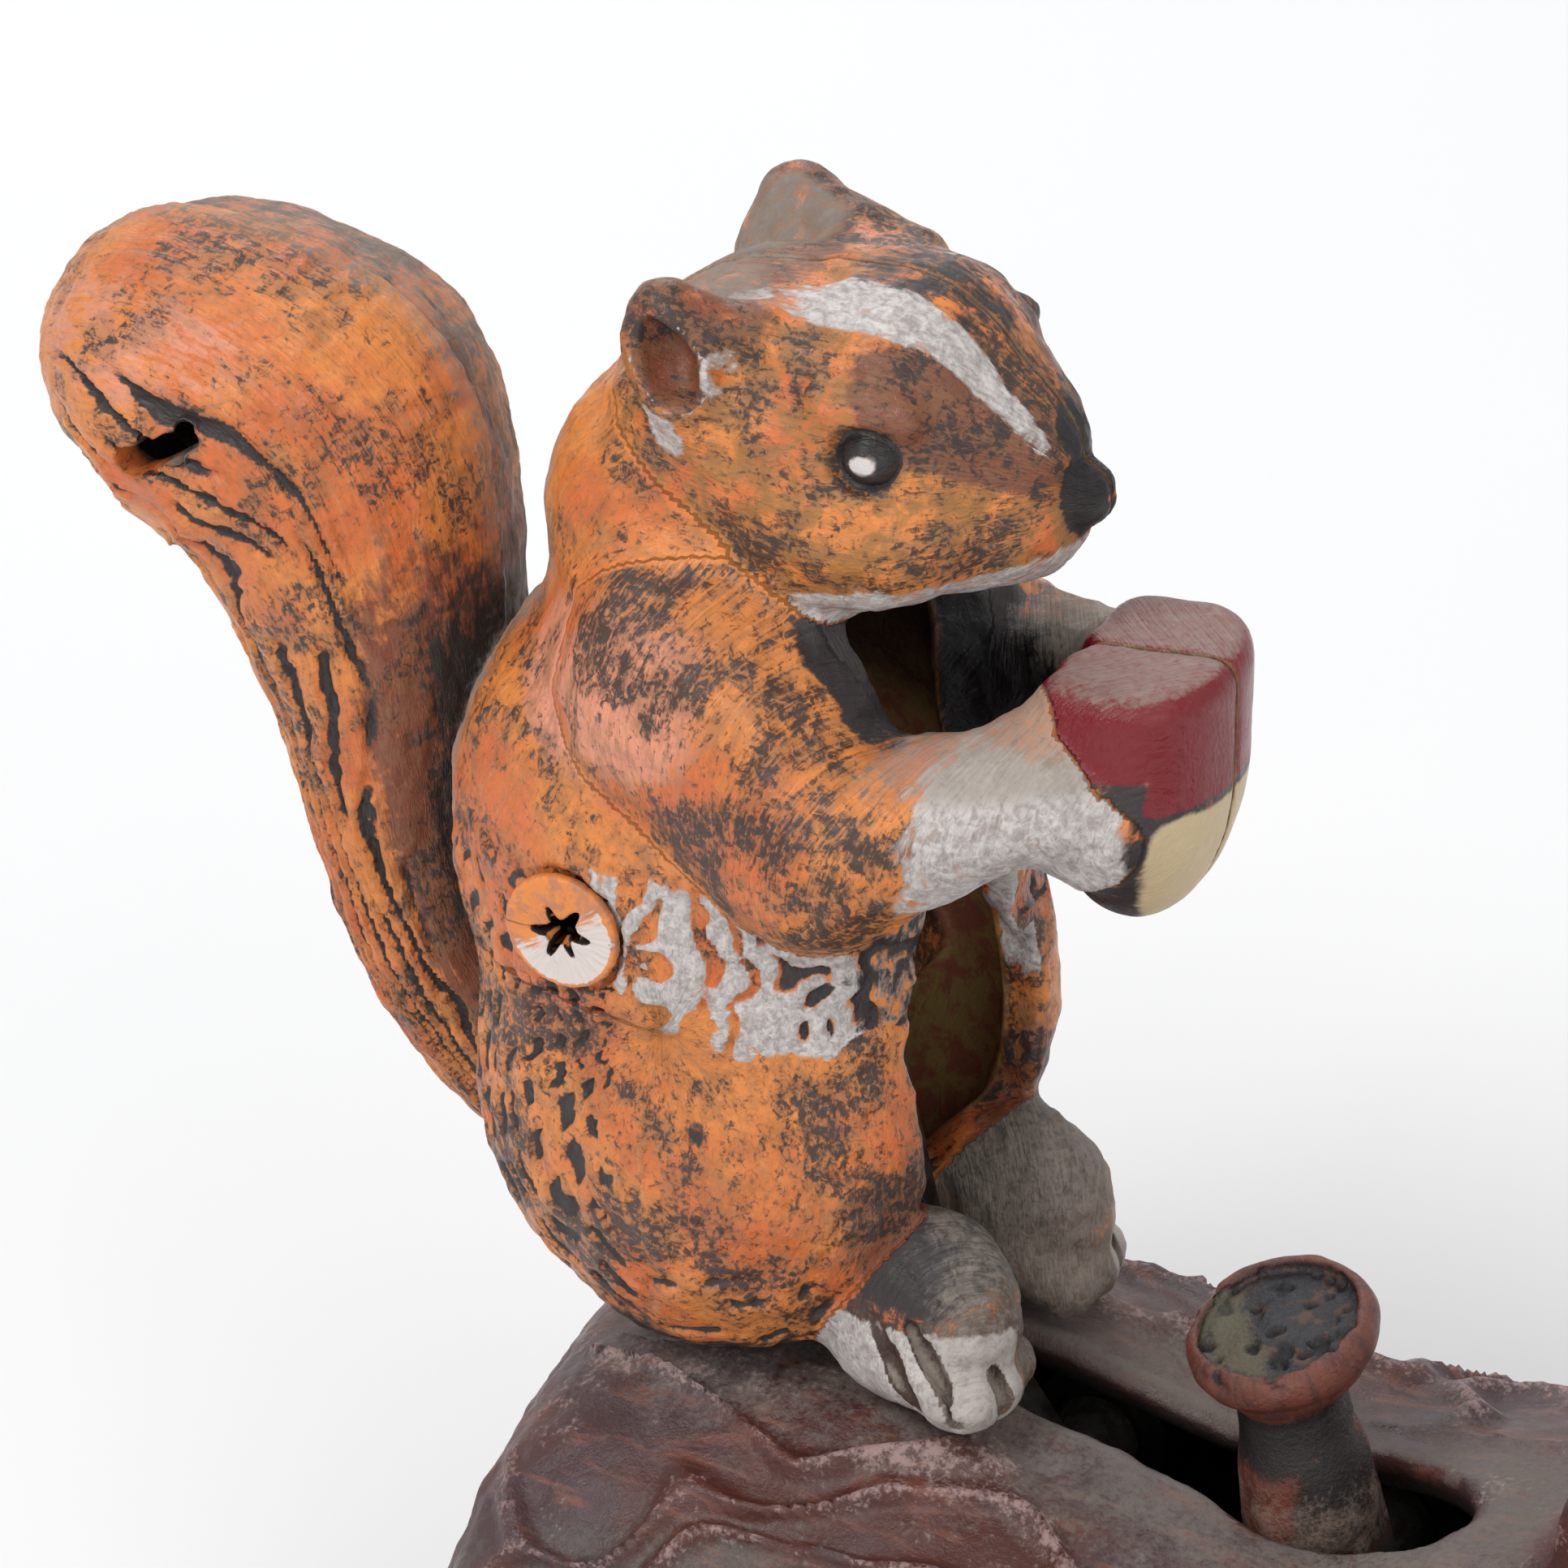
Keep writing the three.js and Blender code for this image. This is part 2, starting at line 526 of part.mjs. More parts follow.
// A headed pin with a groove for its clip, across [x, z].
const PIN_HEAD_Y = LINK_FACE + LINK_BAR_THICKNESS + 0.2;
const CLIP = { radius: 3.4, thickness: 0.8, mouth: 1.8 };
const GROOVE_DEPTH = 0.5;
function linkPin(at) {
  const grooveY = PIN_HEAD_Y + 0.05;
  const groove = crossPin(at, 4, grooveY, grooveY + CLIP.thickness + 0.1)
    .subtract(crossHole(at, LINK_PIN_RADIUS - GROOVE_DEPTH));
  return crossPin(at, LINK_PIN_RADIUS, -PIN_HEAD_Y - 1, PIN_HEAD_Y + 2)
    .add(crossPin(at, 3.2, -PIN_HEAD_Y - 1.2, -PIN_HEAD_Y))
    .subtract(groove);
}

// An open retaining clip that snaps into the pin's groove.
function pinClip(at) {
  const y0 = PIN_HEAD_Y + 0.1;
  const halfMouth = CLIP.mouth / 2;
  return crossPin(at, CLIP.radius, y0, y0 + CLIP.thickness)
    .subtract(crossHole(at, LINK_PIN_RADIUS - GROOVE_DEPTH + 0.1))
    .subtract(box([at[0] - halfMouth, 0, at[1]], [at[0] + halfMouth, BEYOND, at[1] + 5]));
}

// A tension spring along X with straight ends, from the stub's arm to the post.
function returnSpring() {
  const start = STUB_AXLE_X + 6.2;
  const end = POST.x + 1;
  const coilStart = start + 7;
  const coilEnd = end - 6;
  const stepsPerTurn = 8;
  const steps = SPRING.turns * stepsPerTurn;
  const z = AXLE_HEIGHT - ARM;
  const points = [new THREE.Vector3(start, 0, z), new THREE.Vector3(coilStart - 2.5, 0, z)];
  for (let i = 0; i <= steps; i++) {
    const angle = i / stepsPerTurn * 2 * Math.PI;
    const x = THREE.MathUtils.lerp(coilStart, coilEnd, i / steps);
    const y = SPRING.coilRadius * Math.cos(angle);
    points.push(new THREE.Vector3(x, y, z + SPRING.coilRadius * Math.sin(angle)));
  }
  points.push(new THREE.Vector3(coilEnd + 2.5, 0, z), new THREE.Vector3(end, 0, z));
  const wire = new THREE.Shape().absarc(0, 0, SPRING.wireRadius, 0, 2 * Math.PI, false);
  return solid(new THREE.ExtrudeGeometry(wire, {
    extrudePath: new THREE.CatmullRomCurve3(points),
    steps: points.length + 8,
    curveSegments: 3,
    bevelEnabled: false,
  }));
}

// ---------------------------------------------------------------- assembly

function groupAt(x, z, ...meshes) {
  const group = new THREE.Group();
  group.position.set(x, 0, z);
  group.add(...meshes);
  return group;
}

// A right and a left copy of a piece, from a function of the side.
const pair = (name, make, material) =>
  [[-1, 'right'], [1, 'left']].map(([side, word]) => meshOf(name + '_' + word, make(side), material));

const base = groupAt(0, 0,
  meshOf('log_casting', logCasting(), BARK_BROWN),
  meshOf('base_plate', basePlate(), DARK_IRON),
  ...SCREW_PLACES.map(([x, place]) => meshOf('base_screw_' + place, baseScrew(x), BRIGHT_STEEL)),
  meshOf('figure_axle', axle(FIGURE_AXLE_X, 31.5), BRIGHT_STEEL),
  meshOf('stub_axle', axle(STUB_AXLE_X, 28.5), BRIGHT_STEEL),
  ...pair('figure_axle_spacer', (side) => axleSpacer(FIGURE_AXLE_X, side), BRIGHT_STEEL),
  ...pair('stub_axle_spacer', (side) => axleSpacer(STUB_AXLE_X, side), BRIGHT_STEEL),
  meshOf('spring_post', springPost(), BRIGHT_STEEL),
  meshOf('return_spring', returnSpring(), SPRING_STEEL));

const rearLinkPin = [FIGURE_AXLE[0], FIGURE_AXLE[1] - ARM];
const figure = groupAt(FIGURE.x, FIGURE.z,
  ...pair('chipmunk_half', figureHalf, FUR_ORANGE),
  meshOf('body_rivet', bodyRivet(), FUR_ORANGE),
  meshOf('locating_pin', locatingPin(), BRIGHT_STEEL),
  meshOf('tongue_plate', tongue(), DARK_IRON),
  meshOf('link_pin_rear', linkPin(rearLinkPin), BRIGHT_STEEL),
  meshOf('link_pin_clip_rear', pinClip(rearLinkPin), SPRING_STEEL));

const anvil = groupAt(STUB_AXLE_X, AXLE_HEIGHT,
  meshOf('anvil_stub', stub(), STUB_BROWN),
  meshOf('link_pin_front', linkPin([0, -ARM]), BRIGHT_STEEL),
  meshOf('link_pin_clip_front', pinClip([0, -ARM]), SPRING_STEEL));

const link = groupAt(FIGURE_AXLE_X, AXLE_HEIGHT - ARM,
  ...pair('link_bar', linkBar, DARK_IRON));

const nutcracker = new THREE.Group();
nutcracker.add(base, figure, anvil, link);

export default nutcracker;
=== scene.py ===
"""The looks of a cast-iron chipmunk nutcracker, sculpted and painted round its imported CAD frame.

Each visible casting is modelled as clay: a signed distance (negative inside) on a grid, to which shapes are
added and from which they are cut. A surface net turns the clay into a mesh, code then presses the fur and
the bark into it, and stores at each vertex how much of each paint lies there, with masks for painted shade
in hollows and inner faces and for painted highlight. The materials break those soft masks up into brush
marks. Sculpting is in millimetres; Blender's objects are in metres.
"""

import json
import math

import bpy
import numpy as np
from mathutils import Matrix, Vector


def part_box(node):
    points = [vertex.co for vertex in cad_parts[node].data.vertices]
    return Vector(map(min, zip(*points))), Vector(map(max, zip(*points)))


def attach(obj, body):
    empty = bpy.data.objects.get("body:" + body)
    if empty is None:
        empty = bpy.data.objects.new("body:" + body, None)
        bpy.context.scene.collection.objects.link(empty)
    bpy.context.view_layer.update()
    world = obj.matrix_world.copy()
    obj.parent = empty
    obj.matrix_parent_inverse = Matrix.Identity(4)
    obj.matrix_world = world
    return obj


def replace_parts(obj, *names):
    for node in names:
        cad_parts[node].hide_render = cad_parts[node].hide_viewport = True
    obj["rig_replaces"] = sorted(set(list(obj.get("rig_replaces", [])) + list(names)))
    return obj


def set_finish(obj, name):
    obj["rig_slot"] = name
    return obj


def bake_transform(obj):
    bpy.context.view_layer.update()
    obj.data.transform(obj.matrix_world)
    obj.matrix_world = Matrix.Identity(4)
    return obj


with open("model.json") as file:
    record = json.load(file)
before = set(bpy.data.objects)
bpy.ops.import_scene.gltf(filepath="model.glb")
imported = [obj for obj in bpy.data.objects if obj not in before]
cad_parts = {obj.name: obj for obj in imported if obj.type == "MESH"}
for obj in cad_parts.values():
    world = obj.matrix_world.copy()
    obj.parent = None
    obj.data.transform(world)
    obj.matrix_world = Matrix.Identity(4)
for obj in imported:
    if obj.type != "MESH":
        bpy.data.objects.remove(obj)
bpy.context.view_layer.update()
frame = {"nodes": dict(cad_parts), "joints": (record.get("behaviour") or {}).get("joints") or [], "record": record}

MM = 0.001
FAR = 6.0                         # the distance that empty clay starts with

# The size of a grid cell of each clay, in millimetres.
FIGURE_STEP = 0.36
LOG_STEP = 0.62
STUB_STEP = 0.3
RIVET_STEP = 0.13


# ------------------------------------------------------------------ places, from the frame

def joint_place(name):
    """A joint's place in millimetres."""
    joint = next(j for j in frame["joints"] if j["name"] == name)
    return np.array(joint["pos_m"]) / MM


def node_box(name):
    """A CAD node's lowest and highest corner in millimetres."""
    low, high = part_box(name)
    return np.array(low) / MM, np.array(high) / MM


def node_centre(name):
    low, high = node_box(name)
    return (low + high) / 2


# The log: an oval barrel whose back falls at both ends and dips at the stub.
LOG_HALF_WIDTH = 38.0
LOG_HALF_HEIGHT = 32.0
LOG_CENTRE_Z = 18.0
LOG_WALL = 4.0
SOLE_GAP = 0.7

BOW_AXLE = joint_place("figure_bow")
STUB_AXLE = joint_place("stub_swing")
LOG_LOW, LOG_HIGH = node_box("log_casting")

# The chipmunk's own frame starts between its toe tips, on the crown of the log.
FIGURE = BOW_AXLE + (-2.0, 0.0, 16.0)
RIVET_PLACE = node_centre("body_rivet") - FIGURE
PIN_PLACE = node_centre("locating_pin") - FIGURE


# ------------------------------------------------------------------ numbers on whole arrays

def clamp(value, low=0.0, high=1.0):
    return np.minimum(np.maximum(value, low), high)


def ease(value, start, end):
    """0 before start, 1 after end, smooth in between. start may be the larger one."""
    share = clamp((value - start) / (end - start))
    return share * share * (3 - 2 * share)


def band(value, low, high, soft):
    """1 between low and high, fading out over soft."""
    return ease(value, low - soft, low) * ease(value, high + soft, high)


def smooth_min(a, b, blend):
    """The smaller of two distances, rounding the valley where they meet."""
    if blend <= 0:
        return np.minimum(a, b)
    share = clamp(0.5 + 0.5 * (b - a) / blend)
    return b + (a - b) * share - blend * share * (1 - share)


LATTICE_SIZE = 64
LATTICE = np.random.RandomState(7).rand(LATTICE_SIZE, LATTICE_SIZE, LATTICE_SIZE).astype(np.float32)


def noise(points, cell, shift=0.0):
    """Smooth random values, 0 to 1, that change over about cell millimetres."""
    scaled = points / cell + shift
    whole = np.floor(scaled).astype(int)
    part = scaled - whole
    part = part * part * (3 - 2 * part)
    total = 0.0
    for corner in range(8):
        step = np.array([corner & 1, corner >> 1 & 1, corner >> 2 & 1])
        place = (whole + step) % LATTICE_SIZE
        weight = np.prod(np.where(step, part, 1 - part), axis=1)
        total = total + weight * LATTICE[tuple(place.T)]
    return total


def cloud(points, cell, layers=3, shift=0.0):
    """Noise with finer and fainter layers on top, 0 to 1."""
    total = 0.0
    weight = 0.0
    for layer in range(layers):
        share = 0.5 ** layer
        total = total + share * noise(points, cell * share, shift + 9.3 * layer)
        weight += share
    return total / weight


def flat_points(s, t, depth=0.0):
    """Points of a plane, for noise that follows the coordinates s and t."""
    return np.stack([s, t, np.zeros_like(s) + depth], axis=1)


def hashed(a, b, seed):
    """A fixed random value, 0 to 1, for each pair of whole numbers."""
    return LATTICE[a % LATTICE_SIZE, b % LATTICE_SIZE, seed % LATTICE_SIZE]


def long_grooves(s, t, length, pitch, seed):
    """Long wavy engraved lines along s, side by side, each fading in and out: 1 in their middle."""
    bend = (cloud(flat_points(s / length, t / (4 * pitch), seed), 1.0, 2) - 0.5) * 4.0
    phase = t / pitch + bend
    row = np.floor(phase)
    kept = ease(noise(flat_points(s / length * 1.5, row * 3.7, seed + 5.5), 1.0), 0.3, 0.46)
    ragged = (noise(flat_points(s, t, seed + 0.5), 0.9) - 0.5) * 0.2
    return ease(np.abs(phase - row - 0.5) + ragged, 0.25, 0.1) * kept


def strokes(s, t, length, pitch, share, seed):
    """Engraved strokes along s, 1 on a stroke's middle line. share says how many of the places hold one."""
    wander = flat_points(s, t, seed)
    t = t + (cloud(wander, 5.0) - 0.5) * pitch * 2.2
    row = np.floor(t / pitch).astype(int)
    s = s + hashed(row, row * 3 + 1, seed) * length * 7
    column = np.floor(s / length).astype(int)
    across = (t / pitch - row - 0.5) * 2
    along = (s / length - column - 0.5) * 2
    present = hashed(row, column, seed + 1) < share
    reach = 0.55 + 0.45 * hashed(row, column, seed + 2)
    width = 0.4 + 0.4 * hashed(row, column, seed + 3)
    ragged = (noise(wander, 0.9, 3.1) - 0.5) * 0.5
    inside = ease(np.abs(along), reach, reach * 0.6) * ease(np.abs(across) + ragged, width, width * 0.35)
    return inside * present


# ------------------------------------------------------------------ clay

class Shape:
    """A solid as a distance function of x, y and z, with its lowest and highest corner."""

    def __init__(self, distance, low, high):
        self.distance = distance
        self.low = np.array(low, float)
        self.high = np.array(high, float)

    def at(self, points):
        return self.distance(points[:, 0], points[:, 1], points[:, 2])


def ellipsoid(centre, radii, pitch=0.0):
    """pitch, in degrees, lowers the front."""
    cx, cy, cz = centre
    rx, ry, rz = radii
    cos, sin = math.cos(math.radians(pitch)), math.sin(math.radians(pitch))

    def distance(x, y, z):
        dx, dy, dz = x - cx, y - cy, z - cz
        along, up = dx * cos - dz * sin, dx * sin + dz * cos
        size = np.sqrt((along / rx) ** 2 + (dy / ry) ** 2 + (up / rz) ** 2)
        slope = np.sqrt((along / rx ** 2) ** 2 + (dy / ry ** 2) ** 2 + (up / rz ** 2) ** 2)
        return size * (size - 1) / np.maximum(slope, 1e-4)

    half = np.array([math.hypot(rx * cos, rz * sin), ry, math.hypot(rx * sin, rz * cos)])
    return Shape(distance, centre - half, centre + half)


def limb(start, end, start_radius, end_radius):
    """A round bar with round ends."""
    a, b = np.array(start, float), np.array(end, float)
    axis = b - a
    length_squared = float(axis @ axis)

    def distance(x, y, z):
        dx, dy, dz = x - a[0], y - a[1], z - a[2]
        share = clamp((dx * axis[0] + dy * axis[1] + dz * axis[2]) / length_squared)
        gap = np.sqrt((dx - share * axis[0]) ** 2 + (dy - share * axis[1]) ** 2 + (dz - share * axis[2]) ** 2)
        return gap - (start_radius + (end_radius - start_radius) * share)

    reach = max(start_radius, end_radius)
    return Shape(distance, np.minimum(a, b) - reach, np.maximum(a, b) + reach)


def drum(start, end, start_radius, end_radius, rounding=0.0):
    """A round bar with flat ends, its edges rounded."""
    a, b = np.array(start, float), np.array(end, float)
    length = float(np.linalg.norm(b - a))
    axis = (b - a) / length

    def distance(x, y, z):
        dx, dy, dz = x - a[0], y - a[1], z - a[2]
        along = dx * axis[0] + dy * axis[1] + dz * axis[2]
        across = np.sqrt(np.maximum(dx * dx + dy * dy + dz * dz - along * along, 0))
        radius = start_radius + (end_radius - start_radius) * clamp(along / length)
        side = across - radius + rounding
        end_gap = np.abs(along - length / 2) - length / 2 + rounding
        outside = np.hypot(np.maximum(side, 0), np.maximum(end_gap, 0))
        return outside + np.minimum(np.maximum(side, end_gap), 0) - rounding

    reach = max(start_radius, end_radius)
    return Shape(distance, np.minimum(a, b) - reach, np.maximum(a, b) + reach)


def cross_bar(x, start, end, z, radius):
    """A round bar with flat ends that lies along y."""
    return drum((x, start, z), (x, end, z), radius, radius)


def flat_bar(start, end, start_radius, end_radius, half_thickness):
    """A limb pressed flat into a plate in the middle plane."""
    bar = limb(start, end, start_radius, end_radius)

    def distance(x, y, z):
        return np.maximum(bar.distance(x, 0 * y, z), np.abs(y) - half_thickness)

    return Shape(distance, bar.low, bar.high)


def block(low, high):
    low, high = np.array(low, float), np.array(high, float)
    middle, half = (low + high) / 2, (high - low) / 2

    def distance(x, y, z):
        gaps = [np.abs(v - m) - h for v, m, h in zip((x, y, z), middle, half)]
        outside = np.sqrt(sum(np.maximum(g, 0) ** 2 for g in gaps))
        return outside + np.minimum(np.maximum(np.maximum(gaps[0], gaps[1]), gaps[2]), 0)

    return Shape(distance, low, high)


def without(shape, hole):
    """A shape less what is inside a hole."""

    def distance(x, y, z):
        return np.maximum(shape.distance(x, y, z), -hole.distance(x, y, z))

    return Shape(distance, shape.low, shape.high)


class Clay:
    """A block of clay: signed distances on a grid from low to high."""

    def __init__(self, low, high, step):
        self.low = np.array(low, float)
        self.high = np.array(high, float)
        self.step = step
        self.size = tuple(np.ceil((self.high - self.low) / step).astype(int) + 1)
        self.field = np.full(self.size, FAR, np.float32)

    def copy(self):
        other = Clay(self.low, self.high, self.step)
        other.field = self.field.copy()
        return other

    def axes(self, window=None):
        """The x, y and z of the grid's points, shaped to spread over it."""
        window = window or tuple(slice(0, n) for n in self.size)
        values = [self.low[i] + self.step * np.arange(w.start, w.stop) for i, w in enumerate(window)]
        x, y, z = (v.astype(np.float32) for v in values)
        return x[:, None, None], y[None, :, None], z[None, None, :]

    def window(self, shape, margin):
        first = np.floor((shape.low - margin - self.low) / self.step).astype(int)
        last = np.ceil((shape.high + margin - self.low) / self.step).astype(int) + 1
        return tuple(slice(max(0, a), min(n, max(0, b))) for a, b, n in zip(first, last, self.size))

    def add(self, shape, blend=0.0):
        window = self.window(shape, blend + 2.5)
        there = self.field[window]
        self.field[window] = smooth_min(there, shape.distance(*self.axes(window)), blend)

    def cut(self, shape, blend=0.0):
        window = self.window(shape, blend + 2.5)
        there = self.field[window]
        self.field[window] = -smooth_min(-there, shape.distance(*self.axes(window)), blend)

    def keep(self, distance, blend=0.0):
        """Keeps only what is inside a distance field that covers the whole grid."""
        self.field = -smooth_min(-self.field, -distance, blend).astype(np.float32)

    def sample(self, points):
        """The distance at free points, and outside the grid that of its nearest point."""
        place = clamp((points - self.low) / self.step, 0, np.array(self.size) - 1.001)
        whole = place.astype(int)
        part = place - whole
        total = 0.0
        for corner in range(8):
            step = np.array([corner & 1, corner >> 1 & 1, corner >> 2 & 1])
            weight = np.prod(np.where(step, part, 1 - part), axis=1)
            total = total + weight * self.field[tuple((whole + step).T)]
        return total

    def slope(self, points):
        """The direction in which the distance grows, as unit vectors, and how fast it grows."""
        reach = self.step * 0.75
        parts = [self.sample(points + reach * e) - self.sample(points - reach * e) for e in np.eye(3)]
        slope = np.stack(parts, axis=1) / (2 * reach)
        size = np.maximum(np.linalg.norm(slope, axis=1), 1e-3)
        return slope / size[:, None], size


def surface_net(clay):
    """The clay's surface as vertices and quads: one vertex in each grid cell that the surface crosses."""
    field = clay.field
    cell_shape = np.array(field.shape) - 1
    cell_steps = np.array([cell_shape[1] * cell_shape[2], cell_shape[2], 1])
    cells, spots, quads = [], [], []
    for axis in range(3):
        lower = [slice(None)] * 3
        upper = [slice(None)] * 3
        lower[axis], upper[axis] = slice(0, -1), slice(1, None)
        a, b = field[tuple(lower)], field[tuple(upper)]
        crossed = np.argwhere((a < 0) != (b < 0))
        others = [i for i in range(3) if i != axis]
        last = np.array(field.shape)[others] - 1
        inner = np.all((crossed[:, others] > 0) & (crossed[:, others] < last), axis=1)
        crossed = crossed[inner]
        va, vb = a[tuple(crossed.T)], b[tuple(crossed.T)]
        spot = crossed.astype(float)
        spot[:, axis] += va / (va - vb)
        corners = []
        for back_a, back_b in ((1, 1), (0, 1), (0, 0), (1, 0)):
            cell = crossed.copy()
            cell[:, others[0]] -= back_a
            cell[:, others[1]] -= back_b
            corners.append(cell @ cell_steps)
            cells.append(corners[-1])
            spots.append(spot)
        quad = np.stack(corners, axis=1)
        turned = (va < 0) == (axis == 1)
        quad[turned] = quad[turned][:, ::-1]
        quads.append(quad)
    cells, spots, quads = np.concatenate(cells), np.concatenate(spots), np.concatenate(quads)
    used, place = np.unique(cells, return_inverse=True)
    count = np.bincount(place)
    middle = np.stack([np.bincount(place, spots[:, i]) / count for i in range(3)], axis=1)
    faces = np.searchsorted(used, quads)
    return middle * clay.step + clay.low, faces


def largest_piece(vertices, faces):
    """Drops crumbs: keeps the largest connected piece of a mesh."""
    label = np.arange(len(vertices))
    while True:
        lowest = label[faces].min(axis=1)
        before = label.copy()
        for corner in range(faces.shape[1]):
            np.minimum.at(label, faces[:, corner], lowest)
        label = label[label]
        if np.array_equal(before, label):
            break
    biggest = np.bincount(label).argmax()
    kept = label == biggest
    number = np.cumsum(kept) - 1
    return vertices[kept], number[faces[kept[faces[:, 0]]]]


def skin(clay):
    """The clay's mesh, pulled onto the surface: vertices, faces and outward normals."""
    vertices, faces = largest_piece(*surface_net(clay))
    for _ in range(2):
        normal, size = clay.slope(vertices)
        gap = clamp(clay.sample(vertices) / size, -clay.step / 2, clay.step / 2)
        vertices = vertices - normal * gap[:, None]
    return vertices, faces, clay.slope(vertices)[0]


def hollowness(clay, vertices, normals, reach):
    """How deep in a hollow each vertex sits, 0 to 1, from the distance a little above it."""
    above = clay.sample(vertices + normals * reach)
    return clamp(1 - above / reach)


def blender_piece(name, vertices, faces, values, origin=(0, 0, 0), flipped=False):
    """A smooth Blender mesh of quads, in the shared frame, with the painted values as attributes."""
    mesh = bpy.data.meshes.new(name)
    places = (vertices + np.array(origin)) * MM
    mesh.vertices.add(len(places))
    mesh.vertices.foreach_set("co", places.astype(np.float32).ravel())
    loops = (faces[:, ::-1] if flipped else faces).astype(np.int32)
    mesh.loops.add(loops.size)
    mesh.loops.foreach_set("vertex_index", loops.ravel())
    mesh.polygons.add(len(loops))
    mesh.polygons.foreach_set("loop_start", np.arange(0, loops.size, 4, dtype=np.int32))
    mesh.update(calc_edges=True)
    mesh.shade_smooth()
    for key, value in values.items():
        kind, field = ("FLOAT_VECTOR", "vector") if value.ndim == 2 else ("FLOAT", "value")
        attribute = mesh.attributes.new(key, kind, "POINT")
        attribute.data.foreach_set(field, value.astype(np.float32).ravel())
    piece = bpy.data.objects.new(name, mesh)
    bpy.context.scene.collection.objects.link(piece)
    return piece


def settle(piece, body, slot, *replaced):
    """Gives a piece its body, its material slot and the nodes that it stands for."""
    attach(piece, body)
    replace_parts(piece, *replaced)
    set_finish(piece, slot)
    return piece


# ------------------------------------------------------------------ the chipmunk's shape

# Masses in the figure's frame, as centre, radii and pitch. y is the distance from the middle plane.
TRUNK = {
    "haunch": ((-22.5, 9.5, 22), (19.3, 10.6, 21.5)),
    "rump": ((-27, 2, 22), (14.5, 14, 18.5)),
    "belly": ((-24, 6, 41), (21, 13, 22)),
    "back": ((-28, 0, 45), (17.5, 18, 21)),
    "chest": ((-22.5, 4, 58), (15.5, 12, 14)),
    "neck": ((-25.5, 0, 69.5), (13.6, 12.5, 12.5)),
}
FAR_THIGH = ((-12.2, 11.5, 27), (9.6, 7.4, 15.5))
HEAD = {
    "cranium": ((-17, 0, 80.0), (15.5, 13, 11.4)),
    "cheek": ((-11, 5, 76.0), (10.5, 8.6, 8.6)),
    "brow": ((-9.5, 0, 84.4), (9.5, 11, 8.0), 12),
    "bridge": ((-2.2, 0, 81.2), (6.6, 6.2, 5.4), 25),
    "muzzle": ((-3.6, 0, 75.6), (8.2, 7.5, 6.6), 6),
}
NOSE = ((3.9, 0, 77.3), (2.8, 2.5, 2.8), 10)
EAR_SHELL = ((-23.4, 10.9, 86.6), (3.9, 3.7, 6.3), -16)
EAR_ROOF = ((-24.4, 11.0, 90.0), (-14.5, 6.5, 88.4), 1.3, 2.4)
EAR_SCOOP = ((-22.9, 14.6, 87.6), (2.1, 3.9, 3.7), -30)
FAR_EAR_RIDGE = ((-25.6, 11.2, 90.4), (-14.0, 8.6, 88.4), 1.8, 2.8)
FAR_EAR_BACK = ((-26.0, 9.6, 85.2), (3.2, 3.8, 6.0), 10)
MOUTH = ((3.0, 4.8, 73.6), (8.6, 0, 75.0), 0.35, 0.45)
EYE = np.array([-7.8, 10.6, 82.3])

# Round the eye, counted from its middle.
EYEBALL = ((0, 0, 0), (2.2, 2.0, 2.1))
EYE_SOCKET = ((0, 1.4, 0), (2.9, 1.8, 2.6))
EYEBROW = ((-3.4, 0.3, 2.9), (2.6, -0.4, 3.0), 0.9, 0.8)
LOWER_LID_GROOVE = ((3.2, 1.0, -0.9), (1.4, 1.6, -3.4), 0.5, 0.4)
TEAR_PIT = ((4.1, 0.4, -2.0), (4.3, 0.4, -2.2), 0.9, 0.8)

SHOULDER = (-21, 12.2, 61)
ELBOW = (-9.5, 15, 51.5)
WRIST = (5.5, 9.0, 57.2)
PAW = ((7.6, 8.0, 55.2), (6.2, 4.0, 5.4), 14)
THUMB = ((3.6, 8.4, 58.4), (6.4, 6.8, 62.6), 3.4, 2.5)
FOOT = ((-4.5, 8.8, 8), (9, 5.6, 8.8), 20)
TOES = [(5.6, 2.0), (8.8, 2.6), (11.9, 1.6)]                                   # y, and the x of the tip
TOE_GROOVES = [(-3.4, 13.2, 3.0), (-0.3, 12.4, 3.4), (2.6, 9.6, 3.0)]          # x, y and lean
NUT = ((10.2, 0, 57), (7.0, 9.9, 13.2))
NUT_TOP = 65.0
NUT_CLEAR = 69.0                  # above this height nothing is painted as the nut
OPEN_FRONT = ((-18, -9.5, 12), (2, 9.5, 68))
FAR_FOLD = ((-9, 10.5, 47), (-2.5, 8.6, 35), 6.5, 2.4)    # the left front edge folds inwards here
CASTING_WALL = 3.6
SEAM_GAP = 0.06
HIP_FACE = 18.2
THROAT_HALF_WIDTH = 2.8           # the tongue plate runs down between the halves here
BOSS_END = 16.0
RIVET_BOSS_RADIUS = 5.5
RIVET_HOLE_RADIUS = 2.6
PIN_BOSS_RADIUS = 4.0
PIN_HOLE_RADIUS = 1.7
PIN_HOLE_END = 18.7
PIN_DIMPLE = (1.5, 1.0, 2.0)
OUT_OF_HALF = 30.0

# A casting flaw: a ragged slot through the right wall of the tail.
FLAW_HOLE = ((-68.6, 0, 69.6), (-63.6, 0, 72.6), 1.3, 0.85)

